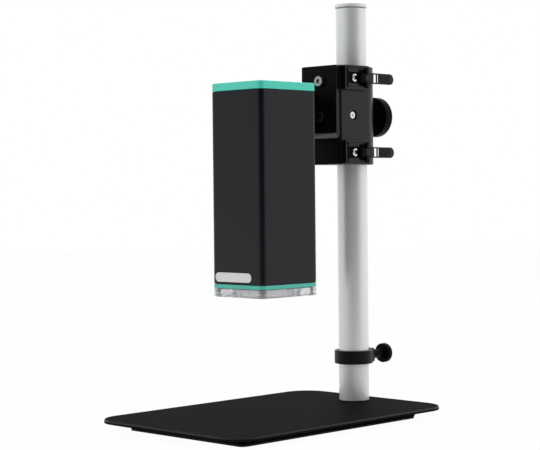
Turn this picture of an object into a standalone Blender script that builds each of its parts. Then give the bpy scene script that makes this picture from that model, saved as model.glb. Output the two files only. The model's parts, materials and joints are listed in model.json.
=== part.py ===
"""Digital microscope on a column stand, modelled at its real size.

All lengths are in metres and +Z is up. The origin is the middle of the underside of the base. The column
stands near the back edge, the microscope hangs in front of it towards -Y, and the cable clips are on the
+X side of the sleeve block.
"""

import math

import bmesh
import bpy
from mathutils import Quaternion, Vector

# Turns that point a body built along +Z another way
TOWARDS_PLUS_X = Quaternion((0.0, 1.0, 0.0), math.radians(90.0))
TOWARDS_MINUS_X = Quaternion((0.0, 1.0, 0.0), math.radians(-90.0))
TOWARDS_PLUS_Y = Quaternion((1.0, 0.0, 0.0), math.radians(-90.0))
TOWARDS_MINUS_Y = Quaternion((1.0, 0.0, 0.0), math.radians(90.0))

# Gaps between neighbours
SEAT_GAP = 0.0003
CUT_OVERRUN = 0.001

# Facets
CORNER_STEPS = 5
EDGE_STEPS = 2
ROUND_STEPS = 36
SMALL_ROUND_STEPS = 16
LENS_STEPS = 2
LOBE_STEPS = 3
SHARP_EDGE_ANGLE = 32.0
EMPTY_SIZE = 0.01

# Sockets in screw heads, as shares of the head
SOCKET_FLOOR_SHARE = 0.4
BOLT_SOCKET_SHARE = 0.45

# Base plate, ballast and non-slip pad
PLATE_WIDTH = 0.1355
PLATE_LENGTH = 0.2013
PLATE_THICKNESS = 0.0023
PLATE_CORNER_RADIUS = 0.020
PLATE_EDGE_ROUND = 0.0010
UNDER_SIDE_INSET = 0.01455
UNDER_END_INSET = 0.01835
UNDER_CORNER_RADIUS = 0.004
BALLAST_THICKNESS = 0.0040
PAD_THICKNESS = 0.0012
PAD_INSET = 0.0004

# Column
COLUMN_INSET = 0.0223
COLUMN_DIAMETER = 0.0208
COLUMN_WALL = 0.0020
COLUMN_LENGTH = 0.2711
COLUMN_CAP_OVERHANG = 0.0009
COLUMN_CAP_THICKNESS = 0.0024
COLUMN_CAP_SPIGOT = 0.009
COLUMN_CAP_ROUND = 0.0006
COLUMN_PLUG_HEIGHT = 0.022
PLUG_BEVEL = 0.0005
COLUMN_BOLT_RADIUS = 0.0037
COLUMN_BOLT_HEAD_RADIUS = 0.0065
COLUMN_BOLT_HEAD_HEIGHT = 0.0030
COLUMN_BOLT_GRIP = 0.018
COLUMN_WASHER_RADIUS = 0.0080
COLUMN_WASHER_THICKNESS = 0.0010
NOTCH_CLEARANCE = 0.0006

# Sleeve block and its bushes
CARRIAGE_HEIGHT = 0.2051
SLEEVE_HEIGHT = 0.0672
SLEEVE_WALL = 0.0023
SLEEVE_FRONT_DEPTH = 0.0132
SLEEVE_CORNER_RADIUS = 0.0018
SLEEVE_EDGE_BEVEL = 0.0005
BORE_RELIEF = 0.0010
BUSH_WALL = 0.0015
BUSH_LENGTH = 0.012
BUSH_BEVEL = 0.0003
SIDE_SCREW_SETBACK = 0.0146
SIDE_SCREW_RADIUS = 0.00275
SIDE_SCREW_LENGTH = 0.0080
SIDE_SCREW_RECESS = 0.0009
SIDE_SOCKET_DEPTH = 0.0018
SIDE_MOUTH_RADIUS = 0.0034
SIDE_MOUTH_DEPTH = 0.0015

# Offset bracket between the sleeve block and the microscope
FLANGE_WIDTH = 0.0344
FLANGE_HEIGHT = 0.0484
FLANGE_TOP_DROP = 0.0009
FLANGE_CORNER_RADIUS = 0.0022
FLANGE_EDGE_ROUND = 0.0010
FLANGE_CHAMFER_HEIGHT = 0.0024
FLANGE_CHAMFER_DEPTH = 0.0016
BRACKET_THICKNESS = 0.0033
BRACKET_REACH = 0.0254
BRACKET_ARM_HEIGHT = 0.032
BRACKET_ARM_LIFT = 0.0009
BRACKET_ARM_INSET = 0.0004
BRACKET_ARM_WIDTH = 0.0292
BRACKET_BEND_RADIUS = 0.0045
BRACKET_INNER_RADIUS = 0.0015

# M4 screws of the bracket
M4_RADIUS = 0.0019
M4_HEAD_RADIUS = 0.0036
M4_HEAD_HEIGHT = 0.0024
M4_SOCKET_RADIUS = 0.0015
M4_HEAD_ROUND = 0.0004
BRACKET_SCREW_LENGTH = 0.0140
BRACKET_SCREW_DROP = 0.0098
BRACKET_SCREW_SPACING = 0.0242
HEAD_SCREW_SPACING = 0.0160
HEAD_SCREW_LIFT = -0.0023

# Cable clips
CLIP_LENGTH = 0.0250
CLIP_WIDTH = 0.0165
CLIP_FLOOR = 0.0014
CLIP_WALL = 0.0013
CLIP_WALL_HEIGHT = 0.0036
CLIP_CORNER_RADIUS = 0.0012
CLIP_EDGE_ROUND = 0.0003
CLIP_SETBACK = 0.0146
STRAP_WIDTH = 0.0074
STRAP_THICKNESS = 0.0010
STRAP_HEIGHT = 0.0030
STRAP_NECK_WIDTH = 0.0042
STRAP_SHOULDER = 0.0010
STRAP_TAIL_LENGTH = 0.0240
STRAP_ROOT_LENGTH = 0.0054
STRAP_ROOT_WIDTH = 0.0061
STRAP_ROOT_SETBACK = 0.0024
STRAP_SLOT_COUNT = 2
STRAP_SLOT_LENGTH = 0.0019
STRAP_SLOT_WIDTH = 0.0054
STRAP_SLOT_PITCH = 0.00265
STRAP_SLOT_START = 0.0046

# Clamp knob, screw and pad
CLAMP_SCREW_RADIUS = 0.0027
CLAMP_PAD_RADIUS = 0.0024
CLAMP_PAD_THICKNESS = 0.0015
CLAMP_BOSS_RADIUS = 0.0060
CLAMP_BOSS_LENGTH = 0.0032
CLAMP_KNOB_STANDOFF = 0.0008
CLAMP_HUB_RADIUS = 0.0050
CLAMP_HUB_LENGTH = 0.0016
CLAMP_KNOB_RADIUS = 0.0139
CLAMP_KNOB_THICKNESS = 0.0075
CLAMP_KNOB_SCREW_DEPTH = 0.0062
CLAMP_KNOB_LOBES = 36
CLAMP_KNOB_LOBE_DEPTH = 0.0003
CLAMP_KNOB_ROUND = 0.0012
CLAMP_FACE_RADIUS = 0.0095
CLAMP_FACE_DEPTH = 0.0005

# Stop collar with its thumb screw
COLLAR_CENTRE_HEIGHT = 0.0385
COLLAR_WALL = 0.0027
COLLAR_HEIGHT = 0.0092
COLLAR_BEVEL = 0.0005
COLLAR_BOSS_WIDTH = 0.0090
COLLAR_BOSS_HEIGHT = 0.0080
COLLAR_BOSS_LENGTH = 0.0022
COLLAR_SCREW_RADIUS = 0.0020
COLLAR_PAD_RADIUS = 0.0018
COLLAR_PAD_THICKNESS = 0.0010
THUMB_NECK_LENGTH = 0.0138
THUMB_KNOB_RADIUS = 0.0068
THUMB_KNOB_THICKNESS = 0.0048
THUMB_KNOB_ROUND = 0.0014
THUMB_KNOB_LOBES = 20
THUMB_KNOB_LOBE_DEPTH = 0.0002
THUMB_KNOB_SCREW_DEPTH = 0.0032

# Microscope housing
HEAD_WIDTH = 0.0470
HEAD_DEPTH = 0.0520
HEAD_CORNER_RADIUS = 0.0038
HEAD_TOP_MARGIN = 0.0023
HOUSING_LENGTH = 0.1249
HOUSING_WALL = 0.0020
CHANNEL_INSET = 0.0042
CHANNEL_RADIUS = 0.0034
CHANNEL_STEPS = 6
CAP_HEIGHT = 0.0052
CAP_TOP_ROUND = 0.0008
CAP_SPIGOT_LENGTH = 0.0025
CAP_SPIGOT_WALL = 0.0016
LOWER_RING_HEIGHT = 0.0026
LOWER_RING_RIM = 0.0055
LOWER_RING_OPENING_RADIUS = 0.0050
LIGHT_RING_HEIGHT = 0.00535
LIGHT_RING_APERTURE = 0.0125
LIGHT_RING_EDGE_ROUND = 0.0006
LIGHT_RING_SCREW_DEPTH = 0.0003

# M2.5 countersunk screws of the light ring
RING_SCREW_RADIUS = 0.00125
RING_SCREW_HEAD_RADIUS = 0.00255
RING_SCREW_CONE = 0.0013
RING_SCREW_RIM = 0.0003
RING_SCREW_LENGTH = 0.0150
RING_SCREW_SOCKET_RADIUS = 0.0009
RING_SCREW_SOCKET_DEPTH = 0.0008

# Label plate, left bare
LABEL_WIDTH = 0.0330
LABEL_HEIGHT = 0.0061
LABEL_THICKNESS = 0.0006
LABEL_RECESS = 0.0005
LABEL_ROUND = 0.0002
LABEL_SHIFT = -0.0031
LABEL_LIFT = 0.0044

# Nut plate behind the back wall
NUT_PLATE_WIDTH = 0.0240
NUT_PLATE_THICKNESS = 0.0030
NUT_PLATE_MARGIN = 0.0043

# LED board
LED_BOARD_THICKNESS = 0.0011
LED_HEIGHT = 0.0012
LED_SIZE = 0.0028
LED_COUNT = 8
LED_CIRCLE_RADIUS = 0.0152
LED_APERTURE = 0.0130

# Lens barrel and its guides
CHASSIS_THICKNESS = 0.0022
GUIDE_TUBE_WALL = 0.0016
GUIDE_TUBE_HEIGHT = 0.0228
BARREL_RADIUS = 0.0115
BARREL_LENGTH = 0.0325
BARREL_LIFT = 0.0012
BARREL_BORE = 0.0084
LENS_SEAT_RADIUS = 0.0100
FRONT_SEAT_DEPTH = 0.0058
REAR_SEAT_DEPTH = 0.0060
REAR_SEAT_RADIUS = 0.0092
LENS_THICKNESS = 0.0030
LENS_CROWN = 0.0008
RETAINER_THICKNESS = 0.0016
RETAINER_WIDTH = 0.0012
FOCUS_ARM_THICKNESS = 0.0030
FOCUS_ARM_RIM = 0.0024
FOCUS_ARM_DROP = 0.0028
FOCUS_EYE_RADIUS = 0.0032
FOCUS_ROD_RADIUS = 0.0015

# Electronics
SENSOR_PLATE_HEIGHT = 0.0600
SENSOR_PLATE_THICKNESS = 0.0022
SENSOR_WIDTH = 0.0120
SENSOR_DEPTH = 0.0100
SENSOR_THICKNESS = 0.0016
BOARD_THICKNESS = 0.0014
SENSOR_BOARD_WIDTH = 0.0245
SENSOR_BOARD_DEPTH = 0.0300
SENSOR_BOARD_SHIFT = -0.0038
MOTOR_RADIUS = 0.0050
MOTOR_CLEARANCE = 0.0010
MOTOR_LENGTH = 0.0135
MOTOR_SHAFT_DEPTH = 0.0060
MAIN_BOARD_WIDTH = 0.0300
MAIN_BOARD_HEIGHT = 0.0345
MAIN_BOARD_SETBACK = 0.0052
USB_WIDTH = 0.0090
USB_HEIGHT = 0.0032
USB_SHELL = 0.0004
USB_PROUD = 0.0002
USB_MOUTH_DEPTH = 0.0050
USB_LIFT = 0.0282
USB_CLEARANCE = 0.0003

# Worked out from the sizes above
COLUMN_RADIUS = COLUMN_DIAMETER / 2
COLUMN_BORE = COLUMN_RADIUS - COLUMN_WALL
COLUMN_Y = PLATE_LENGTH / 2 - COLUMN_INSET
UNDER_WIDTH = PLATE_WIDTH - 2 * UNDER_SIDE_INSET
UNDER_LENGTH = PLATE_LENGTH - 2 * UNDER_END_INSET
BALLAST_BOTTOM = PAD_THICKNESS + SEAT_GAP
BALLAST_TOP = BALLAST_BOTTOM + BALLAST_THICKNESS
PLATE_BOTTOM = BALLAST_TOP + SEAT_GAP
PLATE_TOP = PLATE_BOTTOM + PLATE_THICKNESS
COLUMN_FOOT = PLATE_TOP + SEAT_GAP
COLUMN_TOP = COLUMN_FOOT + COLUMN_LENGTH
SLIDE_RADIUS = COLUMN_RADIUS + SEAT_GAP
BUSH_RADIUS = SLIDE_RADIUS + BUSH_WALL
BUSH_SEAT_RADIUS = BUSH_RADIUS + SEAT_GAP
SLEEVE_RADIUS = BUSH_SEAT_RADIUS + SLEEVE_WALL
SLEEVE_BORE = COLUMN_RADIUS + BORE_RELIEF
SLEEVE_FRONT = SLEEVE_RADIUS + SLEEVE_FRONT_DEPTH
FLANGE_BACK = SLEEVE_FRONT + SEAT_GAP
FLANGE_FRONT = FLANGE_BACK + BRACKET_THICKNESS
ARM_BACK = FLANGE_FRONT + BRACKET_REACH
ARM_FRONT = ARM_BACK + BRACKET_THICKNESS
HEAD_REACH = ARM_FRONT + SEAT_GAP + HEAD_DEPTH / 2
LOWER_RING_BOTTOM = LIGHT_RING_HEIGHT + SEAT_GAP
LOWER_RING_TOP = LOWER_RING_BOTTOM + LOWER_RING_HEIGHT
HOUSING_BOTTOM = LOWER_RING_TOP + SEAT_GAP
HOUSING_TOP = HOUSING_BOTTOM + HOUSING_LENGTH
CAP_BOTTOM = HOUSING_TOP + SEAT_GAP
HEAD_HEIGHT = CAP_BOTTOM + CAP_HEIGHT
BRACKET_ARM_TOP = BRACKET_ARM_LIFT + BRACKET_ARM_HEIGHT / 2
HEAD_TOP = BRACKET_ARM_TOP + HEAD_TOP_MARGIN
HEAD_SCREW_CENTRE = BRACKET_ARM_LIFT + HEAD_SCREW_LIFT
STRAP_ROOT_MIDDLE = CLIP_LENGTH / 2 - CLIP_WALL - STRAP_ROOT_SETBACK - STRAP_ROOT_LENGTH / 2
CHANNEL_X = HEAD_WIDTH / 2 - CHANNEL_INSET
CHANNEL_Y = HEAD_DEPTH / 2 - CHANNEL_INSET
M4_HOLE = M4_RADIUS + SEAT_GAP
FOCUS_SPACING = HEAD_WIDTH - 2 * (HOUSING_WALL + MOTOR_CLEARANCE + MOTOR_RADIUS)
FOCUS_HOLE = FOCUS_ROD_RADIUS + SEAT_GAP
CHASSIS_TOP = HOUSING_BOTTOM + CHASSIS_THICKNESS
SENSOR_PLATE_TOP = SENSOR_PLATE_HEIGHT + SENSOR_PLATE_THICKNESS
ROD_FOOT = HOUSING_BOTTOM + SEAT_GAP


# Outlines, as lists of points in a plane

def arc(center, radius, start, end, steps):
    """Points along an arc between two angles in degrees, both ends included."""
    points = []
    for step in range(steps + 1):
        angle = math.radians(start + (end - start) * step / steps)
        points.append((center[0] + radius * math.cos(angle), center[1] + radius * math.sin(angle)))
    return points


def circle(radius, steps):
    """Points round a circle about the origin."""
    return arc((0.0, 0.0), radius, 0.0, 360.0, steps)[:-1]


def rounded_rectangle(width, depth, radius):
    """Outline of a rectangle about the origin, with round corners."""
    half_x = width / 2 - radius
    half_y = depth / 2 - radius
    points = []
    for start, side_x, side_y in ((0, 1, 1), (90, -1, 1), (180, -1, -1), (270, 1, -1)):
        points += arc((side_x * half_x, side_y * half_y), radius, start, start + 90, CORNER_STEPS)
    return points


def channel_outline(clearance):
    """Inside of the extruded housing, with a round screw channel bulging in at each corner."""
    half_x = HEAD_WIDTH / 2 - HOUSING_WALL - clearance
    half_y = HEAD_DEPTH / 2 - HOUSING_WALL - clearance
    radius = CHANNEL_RADIUS + clearance
    side_angle = math.degrees(math.acos((half_x - CHANNEL_X) / radius))
    end_angle = math.degrees(math.asin((half_y - CHANNEL_Y) / radius))
    corner = arc((CHANNEL_X, CHANNEL_Y), radius, -side_angle, -180.0 - end_angle, CHANNEL_STEPS)
    points = list(corner)
    points += [(-x, y) for x, y in reversed(corner)]
    points += [(-x, -y) for x, y in corner]
    points += [(x, -y) for x, y in reversed(corner)]
    return points


def lobed_circle(radius, lobes, depth):
    """Outline of a knob with a scalloped grip."""
    steps = LOBE_STEPS * lobes
    points = []
    for step in range(steps):
        angle = 2 * math.pi * step / steps
        reach = radius - depth * (1.0 - math.cos(lobes * angle)) / 2
        points.append((reach * math.cos(angle), reach * math.sin(angle)))
    return points


def sleeve_outline(inset):
    """Seen from above: a straight front with small corners, and a half round back about the column."""
    side = SLEEVE_RADIUS - inset
    corner = SLEEVE_CORNER_RADIUS - inset
    front = -SLEEVE_FRONT + inset
    points = arc((side - corner, front + corner), corner, 270, 360, CORNER_STEPS)
    points += arc((0.0, 0.0), side, 0, 180, ROUND_STEPS // 2)
    points += arc((corner - side, front + corner), corner, 180, 270, CORNER_STEPS)
    return points


def bracket_outline():
    """Seen from above: the web on the -X side and the arm across the microscope's back."""
    outside = -FLANGE_WIDTH / 2 + BRACKET_ARM_INSET
    inside = outside + BRACKET_THICKNESS
    bend = BRACKET_BEND_RADIUS
    inner = BRACKET_INNER_RADIUS
    points = [(outside, -FLANGE_FRONT + BRACKET_THICKNESS / 2)]
    points += arc((outside + bend, -ARM_FRONT + bend), bend, 180, 270, CORNER_STEPS)
    points += [(outside + BRACKET_ARM_WIDTH, -ARM_FRONT), (outside + BRACKET_ARM_WIDTH, -ARM_BACK)]
    points += arc((inside + inner, -ARM_BACK + inner), inner, 270, 180, CORNER_STEPS)
    points += [(inside, -FLANGE_FRONT + BRACKET_THICKNESS / 2)]
    return points


# Solids

def at_height(outline, height):
    """The outline's points at one height."""
    return [(x, y, height) for x, y in outline]


def tidy(bm):
    """Merges what meets, drops what has no area and turns every face outwards."""
    bmesh.ops.remove_doubles(bm, verts=bm.verts, dist=1e-7)
    bmesh.ops.dissolve_degenerate(bm, dist=1e-7, edges=bm.edges)
    bmesh.ops.recalc_face_normals(bm, faces=bm.faces)
    return bm


def loft(sections):
    """Closed body through sections that have equally many points, capped at both ends."""
    bm = bmesh.new()
    rings = [[bm.verts.new(point) for point in section] for section in sections]
    count = len(rings[0])
    for lower, upper in zip(rings, rings[1:]):
        for index in range(count):
            following = (index + 1) % count
            bm.faces.new((lower[index], lower[following], upper[following], upper[index]))
    bm.faces.new(list(reversed(rings[0])))
    bm.faces.new(rings[-1])
    return tidy(bm)


def prism(outline, bottom, top):
    """Straight body between two heights."""
    return loft([at_height(outline, bottom), at_height(outline, top)])


def block(width, depth, bottom, top):
    """Square-edged plate about the origin."""
    x = width / 2
    y = depth / 2
    return prism([(x, y), (-x, y), (-x, -y), (x, -y)], bottom, top)


def rounded_levels(bottom, top, bottom_round, top_round):
    """Pairs of inset and height that round over the lower and upper edges of a body."""
    levels = []
    for step in range(EDGE_STEPS + 1 if bottom_round else 1):
        angle = math.radians(90.0 * step / EDGE_STEPS)
        levels.append((bottom_round * (1 - math.sin(angle)), bottom + bottom_round * (1 - math.cos(angle))))
    for step in range(EDGE_STEPS + 1 if top_round else 1):
        angle = math.radians(90.0 * step / EDGE_STEPS)
        levels.append((top_round * (1 - math.cos(angle)), top - top_round * (1 - math.sin(angle))))
    return levels


def slab(width, depth, corner, bottom, top, bottom_round=0.0, top_round=0.0):
    """Plate with round corners and edges."""
    sections = []
    for inset, height in rounded_levels(bottom, top, bottom_round, top_round):
        outline = rounded_rectangle(width - 2 * inset, depth - 2 * inset, corner - inset)
        sections.append(at_height(outline, height))
    return loft(sections)


def turned(profile, steps=ROUND_STEPS):
    """Body turned about Z from points of radius and height, closed or running from axis to axis."""
    bm = bmesh.new()
    verts = [bm.verts.new((radius, 0.0, height)) for radius, height in profile]
    edges = [bm.edges.new(pair) for pair in zip(verts, verts[1:])]
    if profile[0][0] > 0.0:
        edges.append(bm.edges.new((verts[-1], verts[0])))
    bmesh.ops.spin(
        bm,
        geom=verts + edges,
        cent=(0, 0, 0),
        axis=(0, 0, 1),
        angle=2 * math.pi,
        steps=steps,
        use_merge=False,
    )
    return tidy(bm)


def tube(inner, outer, bottom, top, steps=ROUND_STEPS, bevel=0.0):
    """Plain ring or tube, with its outer edges bevelled."""
    profile = [(inner, bottom), (outer - bevel, bottom), (outer, bottom + bevel)]
    profile += [(outer, top - bevel), (outer - bevel, top), (inner, top)]
    return turned(profile, steps)


def rod(start, end, radius, steps=SMALL_ROUND_STEPS):
    """Round bar between two points."""
    start = Vector(start)
    run = Vector(end) - start
    bm = prism(circle(radius, steps), 0.0, run.length)
    turn = Vector((0.0, 0.0, 1.0)).rotation_difference(run).to_matrix()
    bmesh.ops.rotate(bm, cent=(0, 0, 0), matrix=turn, verts=bm.verts)
    return shifted(bm, start)


def shifted(bm, offset):
    """Moves a body."""
    bmesh.ops.translate(bm, vec=offset, verts=bm.verts)
    return bm


def faced(bm, turn):
    """Turns a body that was built along +Z so that it points another way."""
    bmesh.ops.rotate(bm, cent=(0, 0, 0), matrix=turn.to_matrix(), verts=bm.verts)
    return bm


def cap_screw(shank, head, head_height, length, socket, edge_round):
    """Cap screw along +Z, with its bearing face at 0 and a socket in its head."""
    socket_floor = -head_height * SOCKET_FLOOR_SHARE
    profile = [(0.0, socket_floor), (socket, socket_floor), (socket, -head_height)]
    profile += [(head - edge_round, -head_height), (head, -head_height + edge_round), (head, 0.0)]
    profile += [(shank, 0.0), (shank, length), (0.0, length)]
    return turned(profile, SMALL_ROUND_STEPS)


def m4_screw(length):
    """M4 cap screw of the bracket."""
    return cap_screw(M4_RADIUS, M4_HEAD_RADIUS, M4_HEAD_HEIGHT, length, M4_SOCKET_RADIUS, M4_HEAD_ROUND)


def lobed_knob(radius, lobes, depth, bottom, top, edge_round):
    """Round grip with a scalloped rim and rounded edges."""
    sections = []
    for inset, height in rounded_levels(bottom, top, edge_round, edge_round):
        sections.append(at_height(lobed_circle(radius - inset, lobes, depth), height))
    return loft(sections)


# Objects

def clear_scene():
    """Starts from an empty scene."""
    for thing in list(bpy.data.objects):
        bpy.data.objects.remove(thing, do_unlink=True)


def make_material(name, color, roughness, metallic=0.0, transmission=0.0):
    """Principled material with the part's own colour and gloss."""
    material = bpy.data.materials.new(name)
    material.use_nodes = True
    shader = material.node_tree.nodes["Principled BSDF"]
    shader.inputs["Base Color"].default_value = (*color, 1.0)
    shader.inputs["Roughness"].default_value = roughness
    shader.inputs["Metallic"].default_value = metallic
    shader.inputs["Transmission Weight"].default_value = transmission
    material.diffuse_color = (*color, 1.0)
    return material


def make_materials():
    """The finishes of the whole object."""
    return {
        "powder_black": make_material("powder_black", (0.020, 0.020, 0.022), 0.55),
        "anodised_black": make_material("anodised_black", (0.026, 0.026, 0.029), 0.42, 0.6),
        "anodised_silver": make_material("anodised_silver", (0.62, 0.63, 0.64), 0.32, 1.0),
        "plastic_black": make_material("plastic_black", (0.018, 0.018, 0.020), 0.38),
        "plastic_teal": make_material("plastic_teal", (0.107, 0.597, 0.474), 0.45),
        "plastic_clear": make_material("plastic_clear", (0.88, 0.92, 0.92), 0.25, 0.0, 0.9),
        "label_white": make_material("label_white", (0.80, 0.80, 0.78), 0.30),
        "rubber": make_material("rubber", (0.015, 0.015, 0.015), 0.85),
        "steel": make_material("steel", (0.70, 0.70, 0.70), 0.25, 1.0),
        "brass": make_material("brass", (0.78, 0.57, 0.24), 0.35, 1.0),
        "glass": make_material("glass", (0.95, 0.97, 0.98), 0.03, 0.0, 1.0),
        "board_green": make_material("board_green", (0.02, 0.16, 0.06), 0.45),
    }


def axis_empty(name, location, parent=None, turn=None):
    """Empty that stands for a centre line, with the pieces on it as its children."""
    empty = bpy.data.objects.new(name, None)
    empty.empty_display_size = EMPTY_SIZE
    bpy.context.scene.collection.objects.link(empty)
    empty.parent = parent
    empty.location = location
    if turn is not None:
        empty.rotation_euler = turn.to_euler()
    return empty


def add_mesh_object(name, bm, parent, location, turn):
    """Puts a body in the scene, on its parent."""
    mesh = bpy.data.meshes.new(name)
    bm.to_mesh(mesh)
    bm.free()
    thing = bpy.data.objects.new(name, mesh)
    bpy.context.scene.collection.objects.link(thing)
    thing.parent = parent
    thing.location = location
    if turn is not None:
        thing.rotation_euler = turn.to_euler()
    return thing


def add_part(name, bm, material, parent, location=(0.0, 0.0, 0.0), turn=None):
    """Adds one named piece, with its round faces shaded smooth."""
    part = add_mesh_object(name, bm, parent, location, turn)
    part.data.materials.append(material)
    part.data.shade_smooth()
    part.data.set_sharp_from_angle(angle=math.radians(SHARP_EDGE_ANGLE))
    return part


def shape_with(part, operation, bodies):
    """Cuts bodies out of a part or joins them to it, each given in the part's own frame."""
    for bm in bodies:
        number = len(part.modifiers) + 1
        tool = add_mesh_object(f"{part.name}_tool_{number}", bm, part.parent, part.location, None)
        tool.rotation_euler = part.rotation_euler
        tool.hide_render = True
        tool.display_type = "WIRE"
        modifier = part.modifiers.new(f"{operation.lower()}_{number}", "BOOLEAN")
        modifier.operation = operation
        modifier.solver = "EXACT"
        modifier.object = tool


def cut(part, *bodies):
    """Takes bodies out of a part."""
    shape_with(part, "DIFFERENCE", bodies)


def join(part, *bodies):
    """Adds bodies to a part."""
    shape_with(part, "UNION", bodies)


# Stand

def build_base(stand, materials):
    """Non-slip pad, ballast and base plate, the first two notched behind for the column's bolt."""
    notch_radius = COLUMN_WASHER_RADIUS + NOTCH_CLEARANCE
    notch_length = PLATE_LENGTH / 2 - COLUMN_Y + notch_radius

    pad = slab(
        UNDER_WIDTH - 2 * PAD_INSET, UNDER_LENGTH - 2 * PAD_INSET, UNDER_CORNER_RADIUS, 0.0, PAD_THICKNESS
    )
    ballast = slab(UNDER_WIDTH, UNDER_LENGTH, UNDER_CORNER_RADIUS, BALLAST_BOTTOM, BALLAST_TOP)
    under_pieces = (
        ("non_slip_pad", pad, materials["rubber"]),
        ("ballast_plate", ballast, materials["powder_black"]),
    )
    for name, body, material in under_pieces:
        part = add_part(name, body, material, stand)
        notch = slab(
            2 * notch_radius,
            2 * notch_length,
            notch_radius - SEAT_GAP,
            -CUT_OVERRUN,
            BALLAST_TOP + CUT_OVERRUN,
        )
        cut(part, shifted(notch, (0.0, COLUMN_Y - notch_radius + notch_length, 0.0)))

    plate = slab(
        PLATE_WIDTH,
        PLATE_LENGTH,
        PLATE_CORNER_RADIUS,
        PLATE_BOTTOM,
        PLATE_TOP,
        top_round=PLATE_EDGE_ROUND,
    )
    base_plate = add_part("base_plate", plate, materials["powder_black"], stand)
    bolt_hole = COLUMN_BOLT_RADIUS + SEAT_GAP
    cut(
        base_plate,
        rod((0, COLUMN_Y, PLATE_BOTTOM - CUT_OVERRUN), (0, COLUMN_Y, PLATE_TOP + CUT_OVERRUN), bolt_hole),
    )


def build_column(column, materials):
    """Aluminium tube with a threaded plug and bolt in its foot and a flanged cap in its top."""
    silver = materials["anodised_silver"]
    add_part("column_tube", tube(COLUMN_BORE, COLUMN_RADIUS, COLUMN_FOOT, COLUMN_TOP), silver, column)

    plug_bore = COLUMN_BOLT_RADIUS + SEAT_GAP
    plug_top = COLUMN_FOOT + COLUMN_PLUG_HEIGHT
    plug = tube(plug_bore, COLUMN_BORE - SEAT_GAP, COLUMN_FOOT, plug_top, bevel=PLUG_BEVEL)
    add_part("column_plug", plug, materials["steel"], column)

    washer_top = PLATE_BOTTOM - SEAT_GAP
    washer_bottom = washer_top - COLUMN_WASHER_THICKNESS
    washer = tube(plug_bore, COLUMN_WASHER_RADIUS, washer_bottom, washer_top, SMALL_ROUND_STEPS)
    add_part("column_washer", washer, materials["steel"], column)

    bolt_seat = washer_bottom - SEAT_GAP
    bolt = cap_screw(
        COLUMN_BOLT_RADIUS,
        COLUMN_BOLT_HEAD_RADIUS,
        COLUMN_BOLT_HEAD_HEIGHT,
        COLUMN_FOOT + COLUMN_BOLT_GRIP - bolt_seat,
        COLUMN_BOLT_HEAD_RADIUS * BOLT_SOCKET_SHARE,
        M4_HEAD_ROUND,
    )
    add_part("column_bolt", bolt, materials["steel"], column, (0.0, 0.0, bolt_seat))

    cap_bottom = COLUMN_TOP + SEAT_GAP
    cap_top = cap_bottom + COLUMN_CAP_THICKNESS
    cap_radius = COLUMN_RADIUS + COLUMN_CAP_OVERHANG
    spigot = COLUMN_BORE - SEAT_GAP
    cap_face = cap_radius - COLUMN_CAP_ROUND
    spigot_end = cap_bottom - COLUMN_CAP_SPIGOT
    profile = [(0.0, cap_top), (cap_face, cap_top), (cap_radius, cap_top - COLUMN_CAP_ROUND)]
    profile += [(cap_radius, cap_bottom + COLUMN_CAP_ROUND), (cap_face, cap_bottom)]
    profile += [(spigot, cap_bottom), (spigot, spigot_end), (0.0, spigot_end)]
    add_part("column_top_cap", turned(profile), silver, column)


# Carriage

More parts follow.
